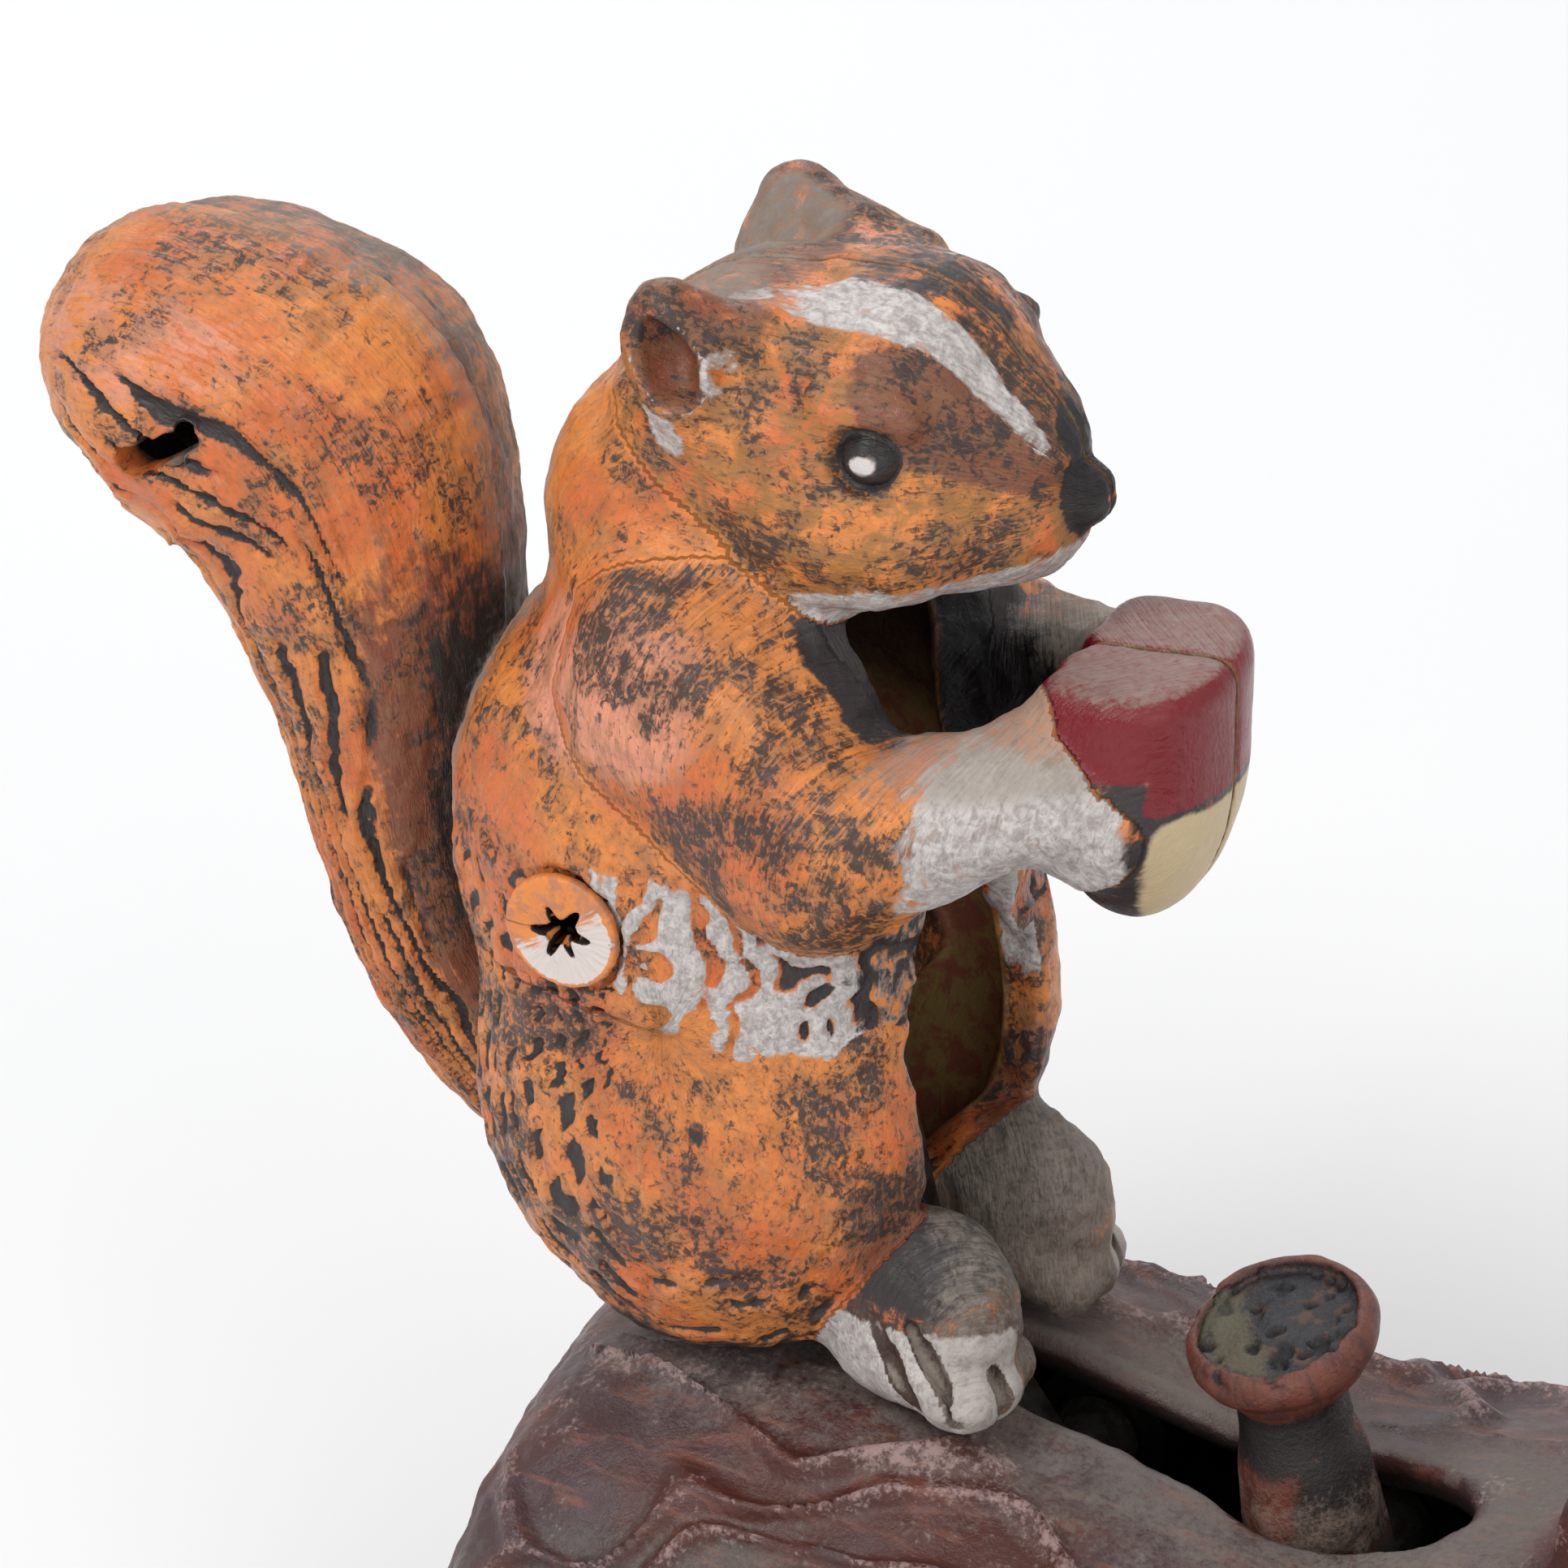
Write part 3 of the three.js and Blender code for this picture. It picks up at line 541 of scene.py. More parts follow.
# The tail's middle line as (x, z) from the root to the tip, and its size at evenly spaced places along it.
TAIL_LINE = [
    (-35, 12), (-47.4, 20.6), (-52.7, 33.5), (-54.2, 46.6),
    (-56.4, 58.4), (-60.9, 68.0), (-71, 71.9), (-83.6, 70.4),
]
TAIL_DEPTH = [8, 7.8, 7.6, 9.6, 12.4, 15.6, 13.0, 11.4]
TAIL_HALF_WIDTH = [8, 7.5, 9, 11.5, 13.8, 15.5, 15.5, 13]
TAIL_SAMPLES = 90
TAIL_TIP_START = 0.84


def spline(points, count):
    """Evenly numbered points of a smooth curve through points, with its place along them from 0 to 1."""
    points = np.array(points, float)
    ends = np.vstack([2 * points[0] - points[1], points, 2 * points[-1] - points[-2]])
    share = np.linspace(0, len(points) - 1, count)
    first = np.minimum(share.astype(int), len(points) - 2)
    t = (share - first)[:, None]
    p0, p1, p2, p3 = (ends[first + i] for i in range(4))
    curve = 0.5 * (2 * p1 + (p2 - p0) * t + (2 * p0 - 5 * p1 + 4 * p2 - p3) * t ** 2
                   + (3 * p1 - p0 - 3 * p2 + p3) * t ** 3)
    return curve, share / (len(points) - 1)


class Tail:
    """The tail: an oval section swept along a curve in the middle plane."""

    def __init__(self):
        self.curve, self.share = spline(TAIL_LINE, TAIL_SAMPLES)
        steps = np.linalg.norm(np.diff(self.curve, axis=0), axis=1)
        self.length = np.concatenate([[0], np.cumsum(steps)])

    def follow(self, x, z):
        """For places in the middle plane: share and length along the tail, and how far to its outer side."""
        x, z = np.broadcast_arrays(x, z)
        best = np.full(x.shape, np.inf, np.float32)
        share = np.zeros(x.shape, np.float32)
        length = np.zeros(x.shape, np.float32)
        across = np.zeros(x.shape, np.float32)
        for i in range(len(self.curve) - 1):
            (ax, az), (bx, bz) = self.curve[i], self.curve[i + 1]
            ux, uz = bx - ax, bz - az
            size = math.hypot(ux, uz)
            part = clamp(((x - ax) * ux + (z - az) * uz) / size ** 2)
            gap = (x - ax - part * ux) ** 2 + (z - az - part * uz) ** 2
            nearer = gap < best
            best = np.where(nearer, gap, best)
            share = np.where(nearer, self.share[i] + part * (self.share[i + 1] - self.share[i]), share)
            length = np.where(nearer, self.length[i] + part * size, length)
            side = ((x - ax) * -uz + (z - az) * ux) / size
            across = np.where(nearer, np.sign(side) * np.sqrt(gap), across)
        return share, length, across

    def shape(self, thinner=0.0):
        def distance(x, y, z):
            if x.ndim == 3:
                share, _, across = (v[:, None, :] for v in self.follow(x[:, 0, :], z[:, 0, :]))
            else:
                share, _, across = self.follow(x, z)
            places = np.linspace(0, 1, len(TAIL_DEPTH))
            into_tip = clamp((share - TAIL_TIP_START) / (1 - TAIL_TIP_START))
            rounding = np.sqrt(np.maximum(1 - into_tip ** 2, 0.0004))
            depth = (np.interp(share, places, TAIL_DEPTH) - thinner * ease(share, 0.3, 0.7)) * rounding
            width = np.interp(share, places, TAIL_HALF_WIDTH) * rounding
            size = np.sqrt((across / depth) ** 2 + (y / width) ** 2)
            slope = np.sqrt((across / depth ** 2) ** 2 + (y / width ** 2) ** 2)
            return size * (size - 1) / np.maximum(slope, 1e-4)

        reach = max(TAIL_DEPTH) + 2
        low = (self.curve[:, 0].min() - reach, -max(TAIL_HALF_WIDTH) - 1, self.curve[:, 1].min() - reach)
        high = (self.curve[:, 0].max() + reach, max(TAIL_HALF_WIDTH) + 1, self.curve[:, 1].max() + reach)
        return Shape(distance, low, high)


TAIL = Tail()


def hump(x, centre, width):
    return np.exp(-((x - centre) / width) ** 2)


def backline(x):
    return -5 * hump(x, -78, 14) - 6 * hump(x, -13, 18) - 5 * hump(x, 80, 20)


def log_top(x, y):
    """The height of the log's smooth top, in the shared frame."""
    across = clamp(y / LOG_HALF_WIDTH, -0.999, 0.999)
    rise = np.sqrt(1 - across ** 2)
    return LOG_CENTRE_Z + (LOG_HALF_HEIGHT + backline(x)) * rise


def from_eye(start, end, start_radius, end_radius):
    """A limb counted from the middle of the eye."""
    return limb(EYE + start, EYE + end, start_radius, end_radius)


def head_clay(clay, side):
    """Adds the head, with its ear and eye. The left ear stands a little taller."""
    for mass in HEAD.values():
        clay.add(ellipsoid(*mass), 2.6)
    if side > 0:
        clay.add(limb(*FAR_EAR_RIDGE), 1.6)
        clay.add(ellipsoid(*FAR_EAR_BACK), 1.6)
    clay.add(ellipsoid(*EAR_SHELL), 1.8)
    clay.add(limb(*EAR_ROOF), 2.0)
    clay.cut(ellipsoid(*EAR_SCOOP), 0.7)
    clay.add(ellipsoid(*NOSE), 0.8)
    clay.cut(limb(*MOUTH), 0.9)
    socket_centre, socket_radii = EYE_SOCKET
    ball_centre, ball_radii = EYEBALL
    clay.add(from_eye(*EYEBROW), 2.2)
    clay.cut(ellipsoid(EYE + socket_centre, socket_radii), 0.9)
    clay.add(ellipsoid(EYE + ball_centre, ball_radii), 0.25)
    clay.cut(from_eye(*LOWER_LID_GROOVE), 0.8)
    clay.cut(from_eye(*TEAR_PIT), 1.0)


def foot_clay(clay):
    """Adds the foot: a high rounded instep with three grooves between its toes."""
    clay.add(ellipsoid(*FOOT), 1.6)
    for y, reach in TOES:
        clay.add(limb((-2.4, y, 4.6), (reach, y, 2.9), 2.7, 2.5), 1.8)
    for x, y, lean in TOE_GROOVES:
        clay.cut(limb((x - 2.0, y + 1.2, 9.6), (x + lean * 0.6, y + 1.0, 2.2), 0.4, 0.65), 0.8)


def arm_clay(clay):
    """Adds the arm, the paw and this side's half of the nut."""
    clay.add(limb(SHOULDER, ELBOW, 9.2, 7.4), 6.0)
    clay.add(limb(ELBOW, WRIST, 7.2, 5.0), 2.0)
    clay.add(ellipsoid(*PAW), 1.6)
    clay.add(limb(*THUMB), 2.0)
    nut = ellipsoid(*NUT)

    def capped(x, y, z):
        side_gap = nut.distance(x, y, np.minimum(z, NUT[0][2]))
        top_gap = z - NUT_TOP - 0.12 * (x - 4)
        notch = np.hypot((x - 3.0) / 1.6, y / 1.3) * 1.4 - 1.8
        return -smooth_min(smooth_min(-side_gap, -top_gap, 2.6), notch, 1.0)

    clay.add(Shape(capped, nut.low, nut.high), 2.2)


def half_clay(side):
    """One half casting of the chipmunk, its y counted outwards from the middle plane."""
    low = np.array([-100.0, -2.0, -8.0])
    high = np.array([24.0, 25.0, 98.0])
    trunk = Clay(low, high, FIGURE_STEP)
    for mass in TRUNK.values():
        trunk.add(ellipsoid(*mass), 3.2)
    if side > 0:
        trunk.add(ellipsoid(*FAR_THIGH), 3.2)
    tail = Clay(low, high, FIGURE_STEP)
    tail.add(TAIL.shape(1.3 if side > 0 else 0.0))

    core = smooth_min(trunk.field, tail.field, 1.0)
    skull = Clay(low, high, FIGURE_STEP)
    skull.add(ellipsoid(*HEAD["cranium"]))
    hollow = trunk.copy()
    hollow.field = np.minimum(core, skull.field) + CASTING_WALL

    opening = block(*OPEN_FRONT)
    if side > 0:
        opening = without(opening, limb(*FAR_FOLD))
    trunk.cut(opening, 0.8)
    clay = trunk
    clay.field = smooth_min(clay.field, tail.field, 1.2)
    head_clay(clay, side)
    arm_clay(clay)
    foot_clay(clay)
    clay.keep(-hollow.field, 0.8)

    rivet_x, _, rivet_z = RIVET_PLACE
    pin_x, _, pin_z = PIN_PLACE
    clay.add(cross_bar(rivet_x, THROAT_HALF_WIDTH, BOSS_END, rivet_z, RIVET_BOSS_RADIUS), 0.8)
    clay.add(cross_bar(pin_x, THROAT_HALF_WIDTH, BOSS_END, pin_z, PIN_BOSS_RADIUS), 0.8)
    clay.cut(drum((rivet_x, HIP_FACE, rivet_z), (rivet_x, OUT_OF_HALF, rivet_z), 5.15, 5.6, 0.4), 0.7)
    clay.cut(cross_bar(rivet_x, -3, OUT_OF_HALF, rivet_z, RIVET_HOLE_RADIUS))
    clay.cut(cross_bar(pin_x, -3, PIN_HOLE_END, pin_z, PIN_HOLE_RADIUS))
    clay.cut(ellipsoid((pin_x, 20.5, pin_z), PIN_DIMPLE), 0.7)
    clay.cut(block((-28, -5, -20), (10, THROAT_HALF_WIDTH, 20)))
    if side < 0:
        flaw = limb(*FLAW_HOLE)
        low, high = flaw.low + (0, 4, 0), flaw.high + (0, 24, 0)
        clay.cut(Shape(lambda x, y, z: flaw.distance(x, 0 * y, z), low, high), 0.3)

    x, y, z = clay.axes()
    sole = z - (log_top(x + FIGURE[0], y) - FIGURE[2] + SOLE_GAP)
    clay.keep(-smooth_min(sole * 0.95, y - SEAM_GAP, 0.5), 0.5)
    return clay, hollow


# ------------------------------------------------------------------ the chipmunk's fur and paint

# Painted places in the figure's frame, as centre and radii.
PLACES = {
    "behind_ear": ((-24.0, 12.5, 81.6), (2.4, 4, 2.6)),
    "before_ear": ((-19.6, 12, 87.0), (1.3, 3.5, 1.9)),
    "between_ears": ((-25, 5, 90), (6, 5, 6)),
    "nose": ((6.8, 0, 78.0), (4.0, 4.4, 4.8)),
    "above_nose": ((5.4, 0, 83.2), (3.2, 3, 3.4)),
    "chin": ((3.2, 0, 72.2), (4.2, 6, 2.0)),
    "nape": ((-37, 2, 66), (9, 8, 9)),
    "shoulder_blade": ((-29, 14, 60), (8, 8, 7)),
    "shoulder": ((-24, 18, 62), (8, 8, 7)),
    "tail_bend": ((-72, 12, 78), (14, 9, 5)),
    "instep": ((-3.4, 8, 12.5), (7, 7, 5.5)),
    "pin_dimple": ((PIN_PLACE[0], 20, PIN_PLACE[2]), (1.0, 3, 1.5)),
}

# The white stripe from between the ears to the nose, and its half width at each point.
STRIPE = [
    (-24, 7.0, 91.5), (-21, 6.2, 92.4), (-14, 5.4, 92.2), (-7.8, 5.2, 91.8),
    (-1.8, 4.6, 89.4), (1.6, 4.0, 85.3), (5.4, 3.0, 81.8),
]
STRIPE_WIDTHS = [1.0, 1.9, 2.7, 2.4, 1.5, 0.9, 0.5]
STRIPE_FLATNESS = (1, 1, 0.3)       # it is painted from above, so heights count less
FLANK_TOP = 46.5
TAIL_GROOVE_DEPTH = 0.8
FUR_GROOVE_DEPTH = 0.5


def blob(points, centre, radii, soft=0.35):
    """1 inside an oval place, 0 outside, fading over soft of its radius."""
    size = np.linalg.norm((points - np.array(centre)) / np.array(radii), axis=1)
    return ease(size, 1 + soft, 1 - soft)


def line_cover(points, path, widths, soft=0.5):
    """1 on a painted line, whose half width changes from point to point of its path."""
    best = np.full(len(points), -np.inf)
    for a, b, wa, wb in zip(path, path[1:], widths, widths[1:]):
        axis = b - a
        share = clamp((points - a) @ axis / (axis @ axis))
        gap = np.linalg.norm(points - a - share[:, None] * axis, axis=1)
        best = np.maximum(best, wa + (wb - wa) * share - gap)
    return ease(best, -soft, soft)


def nearest(points, shapes):
    return np.min([shape.at(points) for shape in shapes], axis=0)


def fur_flow(points):
    """How fur and brush run, s along and t across in mm, then each point's region and place on the tail."""
    x, y, z = points.T
    share, length, across = TAIL.follow(x, z)
    arm = [limb(SHOULDER, ELBOW, 9.6, 7.6), limb(ELBOW, WRIST, 7.2, 5.0), ellipsoid(*PAW), limb(*THUMB)]
    below_nut = points * (1, 1, 0) + np.minimum(points, NUT[0][2]) * (0, 0, 1)
    gaps = np.stack([
        nearest(points, [ellipsoid(*m) for m in TRUNK.values()]),
        TAIL.shape().at(points),
        nearest(points, [ellipsoid(*m) for m in HEAD.values()] + [ellipsoid(*EAR_SHELL)]),
        nearest(points, arm),
        ellipsoid(*FOOT).at(points),
        ellipsoid(*NUT).at(below_nut) - 0.3 + FAR * (z > NUT_CLEAR),
    ])
    around = np.arctan2(z - 34, x + 21)
    outwards = np.arctan2(np.hypot((x + 21) / 18, (z - 34) / 34) * 14, np.maximum(y, 0.1))
    from_nose = points - (7, 0, 78)
    flows = [
        (around * 24, outwards * 17),
        (length, np.arctan2(across, y) * 12),
        (np.linalg.norm(from_nose, axis=1), np.arctan2(from_nose[:, 2], from_nose[:, 1]) * 10),
        (z * 0.8 - x * 0.2, x + y * 0.5),
        (z, x + y),
        (z, x + y),
    ]
    region = gaps.argmin(axis=0)
    s = np.choose(region, [f[0] for f in flows])
    t = np.choose(region, [f[1] for f in flows])
    return s, t, region, gaps, share, across


class Fur:
    """A half casting's skin before anything is pressed in, with masks of its regions, 0 to 1."""

    def __init__(self, clay, hollow):
        self.points, self.faces, self.normals = skin(clay)
        self.s, self.t, self.region, gaps, self.tail_share, tail_across = fur_flow(self.points)
        self.body, self.tail, self.head, self.arm, self.foot, self.nut = (self.region == i for i in range(6))
        self.nut_share = ease(gaps[5] - gaps[:5].min(axis=0), 0.5, -0.5)
        nearest_two = np.sort(gaps, axis=0)[:2]
        self.border_gap = nearest_two[1] - nearest_two[0]
        depth = np.interp(self.tail_share, np.linspace(0, 1, len(TAIL_DEPTH)), TAIL_DEPTH)
        self.tail_side = tail_across / depth        # -1 on the side towards the back, 1 on the outer side
        y = self.points[:, 1]
        self.inside = ease(np.abs(hollow.sample(self.points)), 1.0, 0.35)
        self.seam = ease(y, SEAM_GAP + 0.25, SEAM_GAP + 0.05)
        self.outside = (1 - self.inside) * (1 - self.seam)
        # crevice: how deep in a hollow a vertex sits; it places dust, and the fur paint darkens hollows with it as
        # painted shade.
        self.crevice = hollowness(clay, self.points, self.normals, 1.6)
        self.eye_gap = np.linalg.norm((self.points - EYE - (0, 1.2, 0)) / (0.93, 1.2, 0.9), axis=1)
        self.eye_zone = ease(self.eye_gap, 3.8, 2.6) * (y > 8)

    def place(self, name, soft=0.35):
        return blob(self.points, *PLACES[name], soft)


def fur_grooves(fur):
    """The engraved grooves and the white flank band that some of them run through, 0 to 1."""
    x, y, z = fur.points.T
    tail = fur.tail * ease(fur.tail_side, -0.7, -0.2) * band(fur.tail_share, 0.05, 0.9, 0.06)
    lower_back = ease(x, -20, -28) * ease(z, 52, 38)
    bottom = ease(z, 17, 9) * ease(x, -6, -11)
    thigh = fur.body * ease(z, 36, 28) * 0.4
    flank_low = 35.0 + 0.28 * clamp(-16 - x, 0, 20) + (cloud(fur.points, 3.0, 2, 6.0) - 0.5) * 7
    flank = fur.body * band(z, flank_low, FLANK_TOP, 1.6) * ease(x, -29, -26) * ease(y, 6, 9)
    wander = (cloud(fur.points, 4.0, 2, 3.0) - 0.5) * 9.0
    squiggle = ease(np.sin((x + 0.5 * y + wander) * 2 * math.pi / 3.3), 0.1, 0.75)
    squiggle = squiggle * ease(noise(fur.points, 1.6, 4.0), 0.2, 0.45)
    groove = np.maximum.reduce([
        tail * long_grooves(fur.s, fur.t, 12.0, 2.3, 3.0),
        fur.body * np.maximum(lower_back, bottom) * strokes(fur.s, fur.t, 5.4, 1.5, 0.85, 11),
        thigh * strokes(fur.s, fur.t, 3.6, 2.6, 0.22, 17),
        flank * squiggle,
    ])
    return groove * fur.outside, flank


def pressed_fur(fur, groove):
    """The skin's vertices with the grooves, lumps and brush marks pressed in."""
    lumps = (cloud(fur.points, 7.0) - 0.5) * 0.9 + (cloud(fur.points, 2.6, 3, 5.0) - 0.5) * 0.75
    brushed = (noise(flat_points(fur.s * 0.3, fur.t), 0.9) - 0.5) * 0.2 * ease(fur.border_gap, 0.2, 2.0)
    rough = fur.outside * (1 - 0.8 * fur.nut) * (1 - 0.8 * fur.eye_zone)
    depth = groove * np.where(fur.tail, TAIL_GROOVE_DEPTH, FUR_GROOVE_DEPTH)
    press = depth - (lumps + brushed) * rough
    return fur.points - fur.normals * press[:, None]


def fur_paints(fur, side, groove, flank):
    """How much of each paint, painted shade and painted highlight lies at each vertex. side is 1 for the left half
    and -1 for the right one.
    """
    x, y, z = fur.points.T
    _, normal_y, normal_z = fur.normals.T
    left = side > 0
    cheek_side = y > 8

    eye = ease(fur.eye_gap, 2.5, 2.3) * (y > 9)
    glint_x, glint_z = x - EYE[0] - 0.1, z - EYE[2]
    glint_size = np.hypot(glint_x * 0.95 + 0.2 * glint_z, glint_z * 1.35 - 0.25 * glint_x)
    glint = ease(glint_size, 1.15, 0.95)
    scoop = ellipsoid(*EAR_SCOOP).at(fur.points)
    in_ear = fur.head * ease(scoop, 0.5, 0.15) * (y > 9) * (x < -18)
    ear_rim = fur.head * band(scoop, 0.1, 0.45, 0.3) * (y > 11) * (x < -18) * (1 - in_ear)
    jaw_top = 70.2 + 0.17 * clamp(x + 16, 0, 22)
    jaw = ease(z, jaw_top + 0.8, jaw_top - 0.6) * ease(x, -17, -12)
    jaw = fur.head * np.maximum(jaw, fur.place("chin"))
    stripe = line_cover(fur.points * STRIPE_FLATNESS, np.array(STRIPE) * STRIPE_FLATNESS, STRIPE_WIDTHS)
    stripe = stripe * fur.head * (z > 78)
    arm_band = fur.arm * ease(x, -5, 1) * ease(z, 66, 59) * ease(x, 14.5, 12)
    # lip: the pale edge on the inner face of the front opening, partly dust, partly painted highlight.
    lip = fur.body * ease(normal_y, -0.15, -0.6) * ease(x, -8.5, -6.5) * ease(z, 50, 47) * ease(z, 24, 31)
    toes = fur.foot * ease(z, 10.5, 8.5) * ease(y, 8, 9.5) * ease(fur.crevice, 0.45, 0.15)
    white = np.maximum.reduce([
        stripe * (0.5 + 0.26 * ease(x, -19, -12)) * (0.45 if left else 1.0),
        ear_rim * 0.6,
        fur.place("behind_ear") * 0.7,
        fur.place("before_ear") * 0.45,
        jaw * 0.62,
        arm_band * 0.72,
        flank * (0.35 + 0.45 * ease(x, -31, -24) - 0.25 * ease(x, -9, -5)) * (1 - groove),
        toes * 0.8,
        lip * 0.62,
    ])

    forehead = fur.head * ease(z, 86, 90) * ease(y, 4.2, 3.0) * ease(x, -16, -12)
    patch_x, patch_z = x + 2.6, z - 84.4
    patch_size = np.hypot((patch_x * 0.82 - patch_z * 0.57) / 9.0, (patch_x * 0.57 + patch_z * 0.82) / 3.4)
    eye_patch = fur.head * (y > 2.5) * ease(patch_size, 1.15, 0.8)
    ear_back = fur.head * ease(x, -13, -19) * ease(z, 87.5, 90)
    maroon = np.maximum.reduce([
        eye_patch * 0.85,
        forehead * 0.6,
        ear_back * 0.7,
        in_ear * 0.9,
        # On the tail's lower side towards the back the maroon is partly maroon paint, partly painted shade in the
        # gap between tail and back; in the body's hollows it is painted shade.
        fur.tail * ease(fur.tail_side, -0.1, -0.6) * ease(fur.tail_share, 0.68, 0.5) * 0.9,
        fur.body * ease(fur.crevice, 0.4, 0.8) * 0.7,
        ease(x, -8.5, -5.5) * fur.body * ease(z, 28, 20) * 0.8,
    ])

    nose = np.maximum(fur.place("nose", 0.2), fur.place("above_nose", 0.25)) * fur.head
    chest = (fur.body | fur.arm) * ease(x, -14.5, -12) * ease(x, -3, -5)
    chest = chest * ease(z, 57.5, 61) * ease(y, 15, 12.5)
    chest = np.maximum(chest, fur.body * ease(x, -15, -12.5) * ease(z, 50, 54))
    # inward: arm and chest faces turned towards the middle plane high in the opening, darkened with black as
    # painted shade.
    inward = (fur.arm | fur.body) * ease(normal_y, -0.1, -0.5) * ease(z, 48, 52) * ease(x, 6, 3)
    black = np.maximum.reduce([
        nose,
        eye * (1 - glint),
        ease(fur.eye_gap, 3.0, 2.6) * cheek_side * (1 - glint),
        chest * 0.8,
        inward,
        fur.nut * ease(z, 61, 59) * 0.66,
        forehead * 0.5,
        fur.foot * fur.place("instep") * 0.85,
        fur.nut * band(z, 57.5, 60, 1.2) * 0.7 * ease(x, 19, 12),
        fur.arm * ease(x, 10, 14) * 0.55,
        ease(x, -10, -6) * flank * 0.55,
        fur.body * ease(z, 6, 2) * 0.7,
        # A dark spot in the pin dimple: painted shade in the recess.
        fur.body * fur.place("pin_dimple") * 0.5,
        # Black on the tail's lower side towards the back: painted shade in the gap between tail and back, over its
        # dark paint.
        fur.tail * ease(fur.tail_side, -0.3, -0.9) * ease(fur.tail_share, 0.72, 0.5) * 0.58,
        left * fur.tail * ease(fur.tail_side, 0.1, -0.6) * 0.42,
    ])

    nut_red = fur.nut_share * np.maximum(ease(z, 58.2, 60.8), ease(z, 55, 58) * ease(x, 12.5, 15))
    cream = fur.nut_share * ease(z, 57, 55) * ease(x + 0.25 * (57 - z), 13.5, 16) * (1 - clamp(nut_red))
    lying = fur.foot * 0.6 + fur.nut * 0.66 + fur.arm * ease(x, -9, -3) * 0.75
    dust = np.maximum.reduce([
        ease(normal_z, 0.55, 0.95) * lying,
        fur.foot * 0.55 * ease(x, -4, 1),
        ease(fur.crevice, 0.35, 0.8) * ease(normal_z, -0.3, 0.4) * 0.9,
        fur.body * fur.place("nape") * 0.6,
        fur.body * ease(y, 2.2, 0.6) * ease(x, -30, -36) * 0.85,
        # Pale on the body's rear where it faces backwards: partly dust, partly painted highlight where the back
        # edge catches light.
        fur.body * ease(fur.normals[:, 0], -0.7, -0.84) * ease(x, -34, -38) * ease(z, 32, 40) * 0.8,
        fur.tail * ease(fur.tail_side, -0.5, -0.9) * ease(y, 5, 1) * ease(fur.tail_share, 0.45, 0.6) * 0.6,
        fur.head * fur.place("between_ears") * 0.75,
        fur.head * ease(normal_y, -0.05, -0.4) * ease(z, 84, 87) * ease(x, -17, -20) * 0.7,
        fur.inside * ease(normal_z, 0.2, 0.9) * 0.7,
        fur.arm * ease(x, -6, 0) * ease(z, 56, 60) * ease(normal_z, 0.0, 0.6) * 0.9,
        left * fur.foot * 0.7,
        left * fur.tail * ease(fur.tail_side, 0.2, -0.5) * 0.62,
    ])
    # salmon: on the shoulder blade, shoulder, tail bend and forearm a painted highlight on raised parts; on the
    # jaw and the left stripe pinkish paint.
    salmon = np.maximum.reduce([
        fur.body * fur.place("shoulder_blade") * 0.8,
        fur.arm * fur.place("shoulder") * 0.8,
        fur.tail * fur.place("tail_bend") * 0.5,
        fur.arm * ease(x, -4, 0) * ease(z, 52, 48) * 0.7,
        jaw * 0.5,
        stripe * (0.7 if left else 0.0),
    ])
    bare = 0.15 + np.maximum.reduce([
        fur.tail * (0.08 * ease(fur.tail_share, 0.75, 0.5) - 0.05),
        fur.body * ease(z, 38, 30) * 0.14,
        fur.foot * 0.4,
        fur.arm * 0.11,
        fur.head * 0.1,
        left * fur.tail * 0.16,
    ])
    # deep: painted shadow inside the upper opening and on the inward faces, together with the deepest black paint
    # of the eye and nose and the dark seam.
    deep = np.maximum.reduce([
        inward * fur.outside,
        fur.inside * ease(z, 44, 52) * ease(z, 80, 74),
        ease(fur.eye_gap, 2.9, 2.4) * cheek_side * (1 - glint) * 0.8,
        nose * 0.7,
        fur.seam * 0.8,
    ])
    return {
        "brush": np.stack([fur.s, fur.t, fur.region * 40.0], axis=1),
        "groove": groove * (1 - 0.75 * flank * ease(x, -9, -15)),
        "white": white * fur.outside,
        "maroon": maroon * fur.outside,
        "black": black * fur.outside,
        "glint": glint * eye,
        "nut_red": clamp(nut_red) * fur.outside,
        "cream": clamp(cream) * fur.outside,
        "dust": dust * (1 - fur.eye_zone),
        "salmon": salmon * fur.outside,
        "inside": np.maximum(fur.inside, fur.seam),
        "crevice": fur.crevice,
        "head": fur.head * 1.0,
        "bare": bare - 0.7 * ease(fur.border_gap, 0.6, 0.1),
        "gloss": np.maximum(eye, clamp(nut_red)),
        "deep": deep,
    }


def chipmunk_half(name, side):
    """One half casting, painted. side is 1 for the left half and -1 for the right one."""
    fur = Fur(*half_clay(side))
    groove, flank = fur_grooves(fur)
    mirrored = pressed_fur(fur, groove) * (1, side, 1)
    paints = fur_paints(fur, side, groove, flank)
    piece = blender_piece(name + "_sculpt", mirrored, fur.faces, paints, FIGURE, flipped=side < 0)
    return settle(piece, "figure", "fur_paint", name)


# ------------------------------------------------------------------ the rivet

RIVET_FLANGE = 4.8
RIVET_FLANGE_HEIGHT = 1.1
RIVET_CLEARANCE = 0.1             # between the rivet and the faces that it holds together
RIVET_SHANK = 2.4
RIVET_BORE = 1.5
RIVET_BORE_END = 12.0
RIVET_DOME_HEIGHT = 2.2
STAR_POINTS = 6
STAR_DEPTH = 3.0


